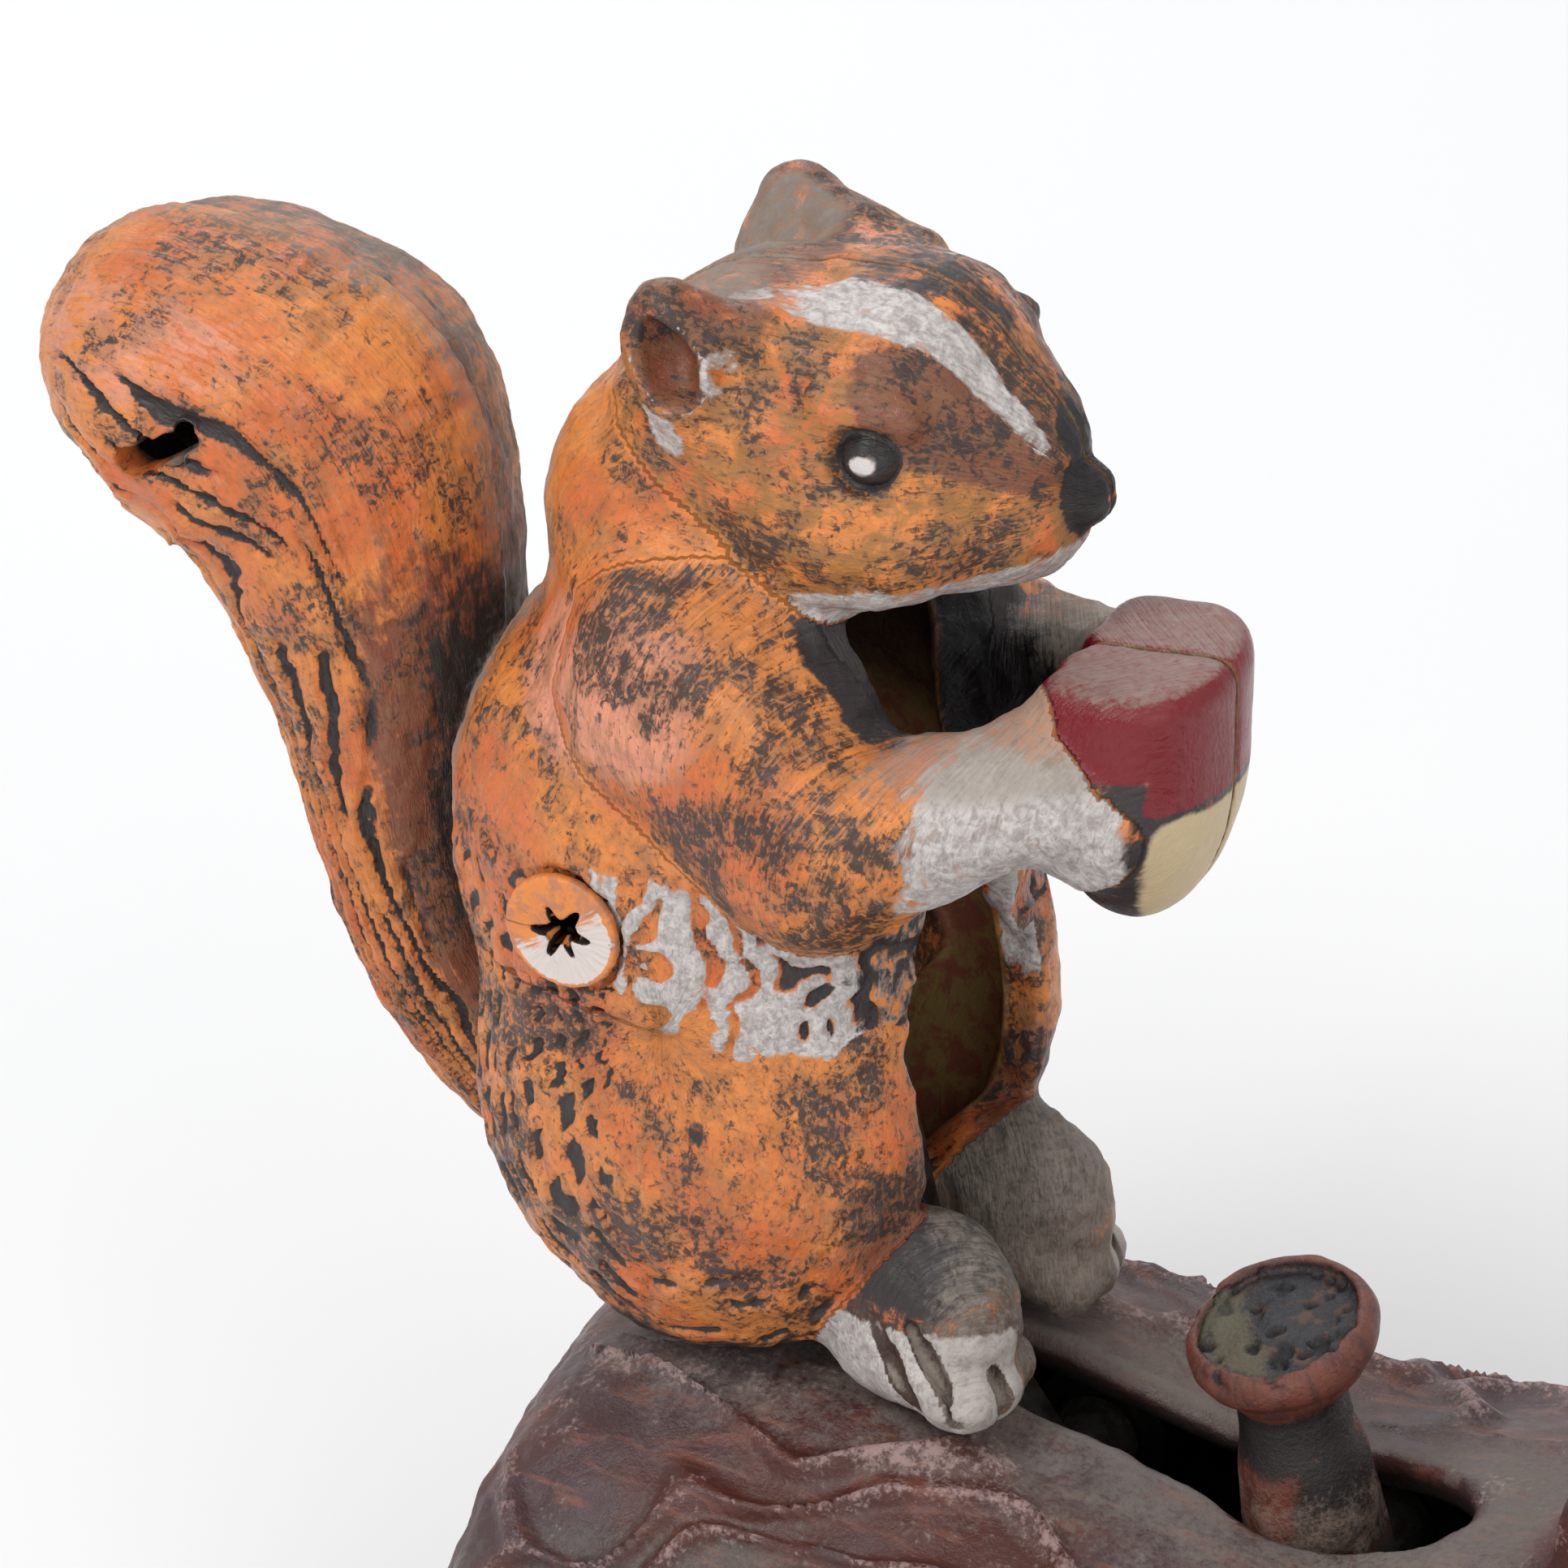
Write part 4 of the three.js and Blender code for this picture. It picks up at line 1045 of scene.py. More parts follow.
def body_rivet():
    """A tubular rivet: domed on the left, rolled out flat and split like a star on the right."""
    seat = HIP_FACE + RIVET_CLEARANCE
    face = -seat - RIVET_FLANGE_HEIGHT
    clay = Clay((-6, -21, -6), (6, 22, 6), RIVET_STEP)
    clay.add(drum((0, face, 0), (0, -seat, 0), RIVET_FLANGE, RIVET_FLANGE, 0.42))
    clay.add(ellipsoid((0, seat, 0), (RIVET_FLANGE, RIVET_DOME_HEIGHT, RIVET_FLANGE)))
    clay.cut(cross_bar(0, RIVET_BORE_END, seat, 0, 2 * RIVET_FLANGE))
    clay.add(cross_bar(0, -19, HIP_FACE + 0.6, 0, RIVET_SHANK))
    clay.cut(cross_bar(0, face + 0.6, RIVET_BORE_END, 0, RIVET_BORE))

    def star(x, y, z):
        angle = np.arctan2(z, x)
        radius = np.hypot(x, z)
        spikes = np.abs(np.cos(angle * STAR_POINTS / 2 + 0.35 * np.sin(angle + 1)))
        reach = 1.15 + 1.25 * spikes ** 5 + 0.25 * np.sin(2 * angle + 0.6)
        return np.maximum((radius - reach) * 0.7, y - face - STAR_DEPTH)

    clay.cut(Shape(star, (-4, face - 2, -4), (4, face + STAR_DEPTH, 4)), 0.5)
    for i in range(STAR_POINTS):
        angle = math.radians(360 / STAR_POINTS * (i + 0.5) + 8 * math.sin(3 * i))
        direction = np.array([math.cos(angle), 0, math.sin(angle)])
        outer = direction * 2.35 + (0, face + 0.45, 0)
        inner = direction * 1.35 + (0, face + 1.7, 0)
        clay.add(limb(outer, inner, 0.42, 0.3), 0.35)
    points, faces, normals = skin(clay)
    x, y, z = points.T
    flange = ease(y, face + 1.6, face + 0.8)
    radius = np.hypot(x, z)
    scratches = (noise(flat_points(np.arctan2(z, x) * 9, radius * 0.3), 0.55) - 0.5) * 0.16
    shaped = points + normals * (scratches * flange * ease(radius, 2.4, 3.0))[:, None]
    rim = ease(radius, 4.15, 4.5)
    lower_right = ease(x * 0.55 - z * 0.85, -2.6, 2.2)
    values = {
        "brush": np.stack([radius * 1.4, np.arctan2(z, x) * 5, y * 0.5], axis=1),
        "white": flange * lower_right * (1 - 0.75 * rim) * ease(normals[:, 1], -0.2, -0.6),
        # crevice darkens the hollows round the star hole and deep darkens the bore: both are painted shade.
        "crevice": hollowness(clay, points, normals, 1.0) * ease(radius, 3.2, 2.4),
        "deep": ease(y, face + 1.2, face + 2.4) * ease(radius, 2.6, 2.2) * ease(y, 15, 12),
    }
    middle = FIGURE + (RIVET_PLACE[0], 0, RIVET_PLACE[2])
    piece = blender_piece("body_rivet_sculpt", shaped, faces, values, middle)
    return settle(piece, "figure", "rivet_paint", "body_rivet")


# ------------------------------------------------------------------ the stub

STUB_LEAN = math.radians(12)
STUB_TIP = math.radians(14)
STUB_REACH = 26.5
STUB_HEAD_RADIUS = 7.7
STUB_HEAD_HEIGHT = 5.8
STUB_RIM = 1.45
STUB_CUP_RADIUS = STUB_HEAD_RADIUS - STUB_RIM
STUB_CUP_DEPTH = 0.9
STUB_ARM = 15.0                   # how far the link pin is below the axle
STUB_PLATE_HALF = 2.5
AXLE_HOLE_RADIUS = 2.6
LINK_PIN_HOLE_RADIUS = 1.85
SPRING_HOLE_RADIUS = 1.1


def stub_up(reach):
    """The place on the leaning stub's middle line that is reach from the axle."""
    return np.array([-reach * math.sin(STUB_LEAN), 0, reach * math.cos(STUB_LEAN)])


def anvil_stub():
    """The round-headed stub of a branch. Its frame starts at its axle."""
    face = np.array([-math.sin(STUB_LEAN), -math.sin(STUB_TIP), math.cos(STUB_LEAN) * math.cos(STUB_TIP)])
    face /= np.linalg.norm(face)
    top = stub_up(STUB_REACH)
    clay = Clay((-15, -13, -22), (12, 13, 33), STUB_STEP)
    clay.add(drum(top - face * (STUB_HEAD_HEIGHT - 0.6), top, STUB_HEAD_RADIUS - 1.5, STUB_HEAD_RADIUS, 1.1))
    cup_floor = top - face * STUB_CUP_DEPTH
    clay.add(drum(top - face * 3.2, cup_floor, STUB_HEAD_RADIUS - 0.2, STUB_HEAD_RADIUS + 0.1, 1.0), 0.8)
    clay.cut(drum(cup_floor, top + face * 3, STUB_CUP_RADIUS, STUB_CUP_RADIUS, 0.3), 0.4)
    clay.add(limb(stub_up(11), stub_up(STUB_REACH - 5), 4.8, 4.3), 1.6)
    clay.add(limb(stub_up(9), stub_up(13), 5.3, 5.0), 1.5)
    axle, link_pin = (0, 0, 0), (0, 0, -STUB_ARM)
    clay.add(flat_bar(axle, link_pin, 6, 4.5, STUB_PLATE_HALF), 0.3)
    clay.add(flat_bar(link_pin, (6.5, 0, -STUB_ARM), 4, 3, STUB_PLATE_HALF), 0.3)
    clay.add(flat_bar(axle, stub_up(10), 6, 5, STUB_PLATE_HALF), 0.3)
    clay.cut(cross_bar(0, -9, 9, 0, AXLE_HOLE_RADIUS))
    clay.cut(cross_bar(0, -9, 9, -STUB_ARM, LINK_PIN_HOLE_RADIUS))
    clay.cut(drum((4.5, 0, -STUB_ARM), (12, 0, -STUB_ARM), SPRING_HOLE_RADIUS, SPRING_HOLE_RADIUS))

    points, faces, normals = skin(clay)
    from_top = points - top
    height = from_top @ face
    across = from_top - height[:, None] * face
    radius = np.linalg.norm(across, axis=1)
    cup = ease(radius, STUB_CUP_RADIUS + 0.35, STUB_CUP_RADIUS - 0.15) * ease(height, -2.2, -1.6)
    pits = ease(cloud(points, 1.3, 2, 2.0), 0.56, 0.72)
    waves = cloud(points * (1, 1, 0.35), 3.2, 2, 6.0) - 0.5
    upper = ease(points[:, 2], 6, 9)
    rim_break = ease(cloud(points, 2.2, 2, 31.0), 0.6, 0.74)
    rim_break = rim_break * band(radius, 6.2, 7.8, 0.3) * ease(height, -1.4, -0.4)
    press = cup * (pits * 0.45 + (cloud(points, 3.5, 2, 8.0) - 0.5) * 0.7)
    press = press - waves * 0.55 * upper * (1 - cup) + rim_break * 0.5
    shaped = points - normals * press[:, None]
    angle = np.arctan2(across[:, 1], across[:, 0])
    values = {
        "brush": np.stack([points[:, 2], angle * 6, radius * 0.3], axis=1),
        "cup": cup,
        "pits": pits * cup,
        "worn": cup * ease(across[:, 0] * 0.8 + across[:, 1] * 0.6, 0.5, -4.5),
        "black": np.maximum.reduce([
            ease(height, -4.2, -6.4) * ease(height, -13, -8) * 0.8,
            ease(points[:, 0] + 3 - points[:, 1] * 0.4, 1.5, 5.0) * upper * ease(height, -3, -6) * 0.8,
            rim_break * 0.7,
        ]),
        "dust": ease(points[:, 2], 17, 10) * upper * 0.55 + ease(normals[:, 2], 0.4, 0.9) * (1 - cup) * 0.25,
        # crevice: how deep in a hollow a vertex sits; the stub paint darkens it as painted shade.
        "crevice": hollowness(clay, points, normals, 1.4),
        "iron": ease(points[:, 2], 8.5, 6.5),
    }
    piece = blender_piece("anvil_stub_sculpt", shaped, faces, values, STUB_AXLE)
    return settle(piece, "anvil", "stub_paint", "anvil_stub")


# ------------------------------------------------------------------ the log

SLOT_BACK, SLOT_FRONT, SLOT_HALF_WIDTH = -66.0, -12.0, 3.75
SLOT_FLOOR = 25.0                 # the slot and the hole are cut down to this height
STUB_HOLE = (STUB_AXLE[0] + 0.3, 11.0, 6.6)                   # middle x, half length, half width
STUMP = ((21, -3, 30), (23, -6, 61), 15, 10)
STUMP_ROOT = ((12, -15, 44), (25, -13, 50), 5.0, 6.5)
STUMP_DISH_DEPTH = 2.2
AXLE_BOSS_FACE = 13.0
AXLE_BOSS_RADIUS = 6.0
SCREW_BOSS_FLOOR = 2.3
SCREW_BOSS_RADIUS = 4.6
SCREW_HOLE_RADIUS = 1.9
SCREW_PLACES = [node_centre(name)[0] for name in ("base_screw_rear", "base_screw_front")]


def log_barrel(inset):
    """The log's oval barrel with drawn-in ends, inset all round."""
    end = LOG_HIGH[0] - inset

    def distance(x, y, z):
        lift = backline(x) * clamp((z - LOG_CENTRE_Z) / LOG_HALF_HEIGHT)
        drawn_in = 1 - 0.07 * np.maximum(0, (np.abs(x) - end) / 10 + 1) ** 2
        wide = (LOG_HALF_WIDTH - inset) * drawn_in
        high = (LOG_HALF_HEIGHT - inset) * drawn_in + lift
        up = z - LOG_CENTRE_Z
        size = np.sqrt((y / wide) ** 2 + (up / high) ** 2)
        slope = np.sqrt((y / wide ** 2) ** 2 + (up / high ** 2) ** 2)
        round_gap = size * (size - 1) / np.maximum(slope, 1e-4)
        return -smooth_min(-round_gap, end - np.abs(x), 0.0 if inset else 4.0)

    low = (-end - 1, -LOG_HALF_WIDTH - 1, LOG_CENTRE_Z - LOG_HALF_HEIGHT)
    high = (end + 1, LOG_HALF_WIDTH + 1, 64)
    return Shape(distance, low, high)


def log_casting():
    """The hollow log with its stump, bosses, slot and the hole round the stub."""
    clay = Clay((LOG_LOW[0] - 3, LOG_LOW[1] - 3, -3), (LOG_HIGH[0] + 3, LOG_HIGH[1] + 3, 66), LOG_STEP)
    clay.add(log_barrel(0.0))
    foot, top, foot_radius, top_radius = STUMP
    dish_floor = np.array(top) - (0, 0, STUMP_DISH_DEPTH)
    clay.add(drum(foot, top, foot_radius, top_radius, 3.5), 5.0)
    clay.add(limb(*STUMP_ROOT), 5.0)
    clay.cut(drum(dish_floor, np.array(top) + (0, 0, 5), top_radius - 3.0, top_radius - 2.4, 1.2), 1.5)
    clay.cut(log_barrel(LOG_WALL))
    clay.cut(block((-90, -60, -20), (90, 60, 0)))
    inner = Clay(clay.low, clay.high, LOG_STEP)
    for x in SCREW_PLACES:
        inner.add(drum((x, 0, SCREW_BOSS_FLOOR), (x, 0, 60), SCREW_BOSS_RADIUS, SCREW_BOSS_RADIUS))
    for x, _, z in (BOW_AXLE, STUB_AXLE):
        for side in (-1, 1):
            inner.add(cross_bar(x, side * AXLE_BOSS_FACE, side * 60, z, AXLE_BOSS_RADIUS))
    shell = Clay(clay.low, clay.high, LOG_STEP)
    shell.add(log_barrel(1.5))
    inner.keep(shell.field)
    clay.field = smooth_min(clay.field, inner.field, 0.8)

    clay.cut(block((SLOT_BACK, -SLOT_HALF_WIDTH, SLOT_FLOOR), (SLOT_FRONT, SLOT_HALF_WIDTH, 80)), 2.4)
    hole_x, hole_length, hole_width = STUB_HOLE

    def hole(x, y, z):
        size = np.sqrt(((x - hole_x) / hole_length) ** 2 + (y / hole_width) ** 2)
        return np.maximum((size - 1) * hole_width, SLOT_FLOOR - z)

    hole_low = (hole_x - hole_length, -hole_width, SLOT_FLOOR)
    clay.cut(Shape(hole, hole_low, (hole_x + hole_length, hole_width, 80)), 1.6)
    for axle in ("figure_axle", "stub_axle"):
        low, high = node_box(axle)
        middle = (low + high) / 2
        half_length = (0, high[1], 0)
        clay.cut(drum(middle - half_length, middle + half_length, AXLE_HOLE_RADIUS, AXLE_HOLE_RADIUS))
    for x in SCREW_PLACES:
        clay.cut(drum((x, 0, -5), (x, 0, 15), SCREW_HOLE_RADIUS, SCREW_HOLE_RADIUS))
    piece = blender_piece("log_casting_sculpt", *bark_and_paint(clay))
    return settle(piece, "base", "bark_paint", "log_casting")


def bark_and_paint(clay):
    """The log with its bark raised, and how much of each paint lies at each vertex."""
    points, faces, normals = skin(clay)
    x, y, z = points.T
    around = np.arctan2(z - LOG_CENTRE_Z, y)
    outside = ease(log_barrel(0.0).at(points), -2.2, -0.6)
    end_face = ease(np.abs(normals[:, 0]), 0.6, 0.9) * ease(np.abs(x), 60, 70)
    stump_top = ease(normals[:, 2], 0.75, 0.95) * ease(np.hypot(x - 23, y + 6), 11, 8) * ease(z, 52, 56)
    ring_radius = np.hypot(y * LOG_HALF_HEIGHT / LOG_HALF_WIDTH, z - LOG_CENTRE_Z)
    on_end = end_face > 0.5
    s = np.where(on_end, around * 14, x)
    t = np.where(on_end, ring_radius * 3, around * 34)
    warp = (cloud(flat_points(s / 16, t / 12), 1.0, 2) - 0.5) * 14
    field = cloud(flat_points((s + warp * 0.6) / 16, (t + warp) / 7, 3.0), 1.0, 2)
    ridge = ease(np.abs(field - 0.5), 0.095, -0.02)
    swell = cloud(flat_points(s / 26, t / 13, 7.0), 1.0, 2) - 0.5
    crown = ease(np.abs(y), 7, 13)
    smooth_patch = ease(np.abs(x + 10), 24, 10) * ease(np.abs(y), 14, 8)
    calm = (0.14 + 0.86 * crown) * (1 - smooth_patch) * ease(np.abs(x), 74, 68)
    bark = outside * (1 - end_face) * (1 - stump_top) * ease(z, 0, 4)
    height = calm * (ridge * 1.7 + swell * 3.4) + (cloud(points, 2.4, 3, 4.0) - 0.5) * 0.7
    rings = np.sin(ring_radius * 2.1 + 6 * (cloud(points, 14.0) - 0.5))
    end_height = rings * 0.25 + (cloud(points, 3.0, 2) - 0.5) * 0.8
    shaped = points + normals * (bark * height + outside * end_face * end_height)[:, None]
    crevice = hollowness(clay, points, normals, 2.5)
    lying = ease(normals[:, 2], 0.7, 0.97) * (0.35 + 0.65 * ease(np.abs(y), 22, 6))
    slot_edge = ease(np.abs(np.abs(y) - SLOT_HALF_WIDTH - 0.6), 2.2, 0.4)
    values = {
        "brush": np.stack([s, t, 0 * s], axis=1),
        "crest": clamp(ridge * calm + ease(swell, 0.08, 0.26) * 0.45) * bark,
        "hollow": clamp((1 - ridge) * ease(swell, 0.1, -0.25)) * bark,
        "dust": clamp(lying + crevice * 0.4) * outside,
        "inside": 1 - outside,
        "lip": slot_edge * ease(z, 38, 44) * outside * band(x, SLOT_BACK - 1, SLOT_FRONT + 10, 1),
    }
    return shaped, faces, values


# ------------------------------------------------------------------ materials

def linear(red, green, blue):
    """A colour of three sRGB numbers up to 255 as the shader's linear one."""
    parts = [c / 255 for c in (red, green, blue)]
    return tuple(c / 12.92 if c <= 0.04 else ((c + 0.055) / 1.055) ** 2.4 for c in parts) + (1.0,)


class Finish:
    """A material's shader nodes. place is the piece's own coordinates in millimetres."""

    def __init__(self, name):
        self.material = bpy.data.materials.new(name)
        self.material.use_nodes = True
        self.nodes = self.material.node_tree.nodes
        self.links = self.material.node_tree.links
        self.nodes.clear()
        self.surface = self.nodes.new("ShaderNodeBsdfPrincipled")
        output = self.nodes.new("ShaderNodeOutputMaterial")
        self.links.new(self.surface.outputs[0], output.inputs[0])
        coordinates = self.nodes.new("ShaderNodeTexCoord")
        self.place = self.stretch(coordinates.outputs["Object"], (1 / MM, 1 / MM, 1 / MM))

    def plug(self, value, socket):
        if isinstance(value, bpy.types.NodeSocket):
            self.links.new(value, socket)
        else:
            socket.default_value = value

    def node(self, kind, *inputs, **settings):
        """A node with its first inputs plugged in."""
        node = self.nodes.new(kind)
        for key, value in settings.items():
            setattr(node, key, value)
        for value, socket in zip(inputs, node.inputs):
            self.plug(value, socket)
        return node

    def math(self, operation, *inputs):
        return self.node("ShaderNodeMath", *inputs, operation=operation).outputs[0]

    def times(self, value, factor):
        return self.math("MULTIPLY", value, factor)

    def both(self, first, share, second):
        """share of the first value and the rest of the second."""
        return self.math("MULTIPLY_ADD", first, share, self.times(second, 1 - share))

    def attribute(self, name, output="Fac"):
        return self.node("ShaderNodeAttribute", attribute_name=name).outputs[output]

    def stretch(self, vector, scale):
        return self.node("ShaderNodeVectorMath", vector, scale, operation="MULTIPLY").outputs[0]

    def noise(self, vector, scale, detail=3.0, roughness=0.55, twist=0.0):
        node = self.nodes.new("ShaderNodeTexNoise")
        names = ("Vector", "Scale", "Detail", "Roughness", "Distortion")
        for name, value in zip(names, (vector, scale, detail, roughness, twist)):
            self.plug(value, node.inputs[name])
        return node.outputs["Fac"]

    def streaks(self, scale, detail, roughness, twist=0.0):
        """Noise that runs the way the brush went, by the mesh's brush attribute."""
        brush = self.stretch(self.attribute("brush", "Vector"), scale)
        return self.noise(brush, 1.0, detail, roughness, twist)

    def ramp(self, value, start, end, low=0.0, high=1.0):
        """low before start and high after end, smooth in between."""
        node = self.node("ShaderNodeMapRange", value, start, end, low, high, interpolation_type="SMOOTHSTEP")
        return node.outputs[0]

    def cover(self, mask, grain, raggedness, softness):
        """A soft mask broken up by a grain into paint that is there or isn't."""
        mask = self.attribute(mask) if isinstance(mask, str) else mask
        swing = self.math("MULTIPLY_ADD", self.math("SUBTRACT", grain, 0.5), raggedness, mask)
        return self.ramp(swing, 0.5 - softness, 0.5 + softness)

    def mix(self, share, first, second):
        """Mixes two colours."""
        node = self.nodes.new("ShaderNodeMix")
        node.data_type = "RGBA"
        self.plug(share, node.inputs[0])
        self.plug(first, node.inputs[6])
        self.plug(second, node.inputs[7])
        return node.outputs[2]

    def over(self, colour, tint, mask, grain, raggedness, softness, strength=1.0):
        """The colour with a tint brushed over it, where the mask and the grain let it."""
        return self.mix(self.times(self.cover(mask, grain, raggedness, softness), strength), colour, tint)

    def finish(self, colour, roughness, metal=0.0, height=None, depth=0.0):
        """Plugs in the looks. height, 0 to 1, is a relief of depth millimetres."""
        self.plug(colour, self.surface.inputs["Base Color"])
        self.plug(roughness, self.surface.inputs["Roughness"])
        self.plug(metal, self.surface.inputs["Metallic"])
        if height is not None:
            bump = self.nodes.new("ShaderNodeBump")
            self.plug(height, bump.inputs["Height"])
            self.plug(depth * MM, bump.inputs["Distance"])
            self.links.new(bump.outputs[0], self.surface.inputs["Normal"])
        return self.material


ORANGE = linear(222, 134, 62)
DEEP_ORANGE = linear(208, 106, 50)
PALE_ORANGE = linear(234, 162, 106)
OCHRE = linear(166, 114, 54)
SALMON = linear(226, 148, 116)
UNDERCOAT_AND_SHADE = linear(48, 42, 41)
SHADOW_BLACK = linear(22, 20, 20)
THIN_PAINT = linear(138, 94, 58)
WHITE = linear(210, 204, 200)
GREY_WHITE = linear(152, 142, 138)
MAROON_BROWN = linear(104, 56, 46)
NUT_RED = linear(118, 18, 28)
CREAM = linear(202, 180, 142)
DUST = linear(156, 144, 132)
OLIVE = linear(168, 138, 86)
RUSTY_BROWN = linear(160, 96, 74)


def fur_paint():
    """Orange brushed over a black undercoat, with white, maroon and black details and dust in the hollows, painted
    shade in the hollows and inside the opening, and pale painted highlight on raised parts.
    """
    paint = Finish("fur_paint")
    streak = paint.streaks((0.3, 1.2, 1.0), 5, 0.62, 0.8)
    fine_streak = paint.streaks((0.8, 3.0, 1.0), 4, 0.65, 0.8)
    mottle = paint.noise(paint.place, 0.42, 5, 0.62, 0.6)
    patches = paint.noise(paint.place, 0.10, 3, 0.5)
    speck = paint.noise(paint.place, 1.25, 5, 0.68, 0.8)
    grain = paint.both(streak, 0.5, mottle)
    fine_grain = paint.both(fine_streak, 0.4, speck)

    colour = paint.mix(paint.ramp(patches, 0.42, 0.62), ORANGE, DEEP_ORANGE)
    colour = paint.mix(paint.ramp(streak, 0.55, 0.72, 0.0, 0.55), colour, PALE_ORANGE)
    colour = paint.mix(paint.ramp(fine_grain, 0.44, 0.62, 0.0, 0.42), colour, THIN_PAINT)
    ochre = paint.math("MULTIPLY", paint.attribute("head"), paint.ramp(mottle, 0.4, 0.55))
    colour = paint.mix(paint.times(ochre, 0.85), colour, OCHRE)
    # Salmon: painted highlight on raised parts, and pinkish paint on the jaw and left stripe.
    colour = paint.over(colour, SALMON, "salmon", grain, 2.2, 0.2)
    colour = paint.over(colour, MAROON_BROWN, "maroon", grain, 2.2, 0.22, 0.85)

    worn = paint.ramp(paint.noise(paint.place, 0.13, 4, 0.6), 0.42, 0.6)
    # The crevice share darkens the hollows with thin paint and undercoat as painted shade; the bare and worn
    # shares are real wear.
    bare = paint.math("MULTIPLY_ADD", paint.attribute("crevice"), 0.35, paint.attribute("bare"))
    bare = paint.math("MULTIPLY_ADD", worn, 0.3, bare)
    colour = paint.over(colour, THIN_PAINT, paint.math("ADD", bare, 0.14), grain, 2.2, 0.25, 0.6)
    colour = paint.over(colour, UNDERCOAT_AND_SHADE, bare, fine_grain, 2.6, 0.16, 0.92)
    whites = paint.mix(paint.ramp(fine_grain, 0.35, 0.65), GREY_WHITE, WHITE)
    colour = paint.over(colour, whites, "white", grain, 1.7, 0.12)
    colour = paint.over(colour, UNDERCOAT_AND_SHADE, "groove", fine_grain, 0.9, 0.12)
    colour = paint.over(colour, UNDERCOAT_AND_SHADE, "black", grain, 1.5, 0.1)
    colour = paint.mix(paint.attribute("glint"), colour, WHITE)
    colour = paint.over(colour, CREAM, "cream", grain, 1.2, 0.2)
    colour = paint.over(colour, NUT_RED, "nut_red", grain, 0.8, 0.1)
    within = paint.mix(paint.ramp(mottle, 0.42, 0.6), OLIVE, RUSTY_BROWN)
    colour = paint.mix(paint.attribute("inside"), colour, within)
    # Near black from the deep mask: painted shadow in the opening and on inward faces, and the deepest black paint
    # of the eye and nose.
    colour = paint.mix(paint.times(paint.attribute("deep"), 0.9), colour, SHADOW_BLACK)
    dust = paint.cover(paint.times(paint.attribute("dust"), 0.85), fine_grain, 1.6, 0.3)
    colour = paint.mix(paint.times(dust, 0.72), colour, DUST)

    rough = paint.ramp(mottle, 0.35, 0.65, 0.3, 0.44)
    rough = paint.math("MULTIPLY_ADD", paint.attribute("gloss"), -0.16, rough)
    rough = paint.math("MULTIPLY_ADD", dust, 0.4, rough)
    return paint.finish(colour, rough, 0.0, paint.both(fine_streak, 0.6, speck), 0.26)


RIVET_ORANGE = linear(188, 122, 84)
RIVET_WHITE = linear(212, 200, 194)
RIVET_SCRATCH = linear(96, 62, 48)
RIVET_HOLE_SHADE = linear(24, 20, 19)


def rivet_paint():
    """Fur orange and white brushed over steel, scratched through where it was rolled over, with painted shade in
    its hollows and down its bore.
    """
    paint = Finish("rivet_paint")
    streak = paint.streaks((0.4, 2.4, 1.0), 4, 0.6)
    mottle = paint.noise(paint.place, 0.9, 4, 0.6)
    grain = paint.both(streak, 0.6, mottle)
    colour = paint.mix(paint.ramp(mottle, 0.42, 0.6), ORANGE, RIVET_ORANGE)
    colour = paint.over(colour, RIVET_WHITE, "white", grain, 1.8, 0.15)
    colour = paint.over(colour, RIVET_SCRATCH, 0.16, grain, 2.0, 0.08)
    # Painted shade: near black in the hollows and down the bore.
    colour = paint.over(colour, UNDERCOAT_AND_SHADE, "crevice", grain, 1.4, 0.15)
    colour = paint.mix(paint.attribute("deep"), colour, RIVET_HOLE_SHADE)
    return paint.finish(colour, 0.42, 0.0, paint.both(streak, 0.7, mottle), 0.16)


BARK_RED = linear(80, 42, 36)
BARK_PURPLE = linear(72, 50, 52)
BARK_RUST = linear(132, 80, 62)
BARK_CREST = linear(176, 146, 142)
BARK_DUST = linear(122, 116, 110)
BARK_GREEN = linear(94, 96, 88)
BARK_DARK = linear(30, 23, 23)
LOG_INSIDE = linear(34, 29, 27)


def bark_paint():
    """Red and purple browns, their ridges dry-brushed with pinkish white, grey dust lying on top."""
    paint = Finish("bark_paint")
    streak = paint.streaks((0.12, 0.4, 1.0), 5, 0.62, 0.6)
    mottle = paint.noise(paint.place, 0.3, 5, 0.62)
    patches = paint.noise(paint.place, 0.07, 3, 0.5)
    speck = paint.noise(paint.place, 1.9, 4, 0.7)
    grain = paint.both(speck, 0.5, mottle)
    colour = paint.mix(paint.ramp(patches, 0.42, 0.6), BARK_RED, BARK_PURPLE)
    colour = paint.mix(paint.ramp(streak, 0.52, 0.68, 0.0, 0.6), colour, BARK_RUST)
    colour = paint.over(colour, BARK_DARK, 0.14, grain, 2.2, 0.12)
    hollow = paint.times(paint.attribute("hollow"), 0.6)
    colour = paint.over(colour, BARK_GREEN, hollow, grain, 1.8, 0.25, 0.55)
    dust = paint.cover(paint.times(paint.attribute("dust"), 0.62), grain, 2.4, 0.3)
    colour = paint.mix(paint.times(dust, 0.66), colour, BARK_DUST)
    crest = paint.times(paint.attribute("crest"), 0.52)
    colour = paint.over(colour, BARK_CREST, crest, grain, 3.0, 0.2, 0.65)
    colour = paint.over(colour, BARK_DUST, "lip", grain, 1.6, 0.2, 0.4)
    colour = paint.mix(paint.attribute("inside"), colour, LOG_INSIDE)
    rough = paint.math("MULTIPLY_ADD", dust, 0.4, paint.ramp(mottle, 0.35, 0.65, 0.3, 0.48))
    return paint.finish(colour, rough, 0.0, paint.both(speck, 0.5, mottle), 0.3)


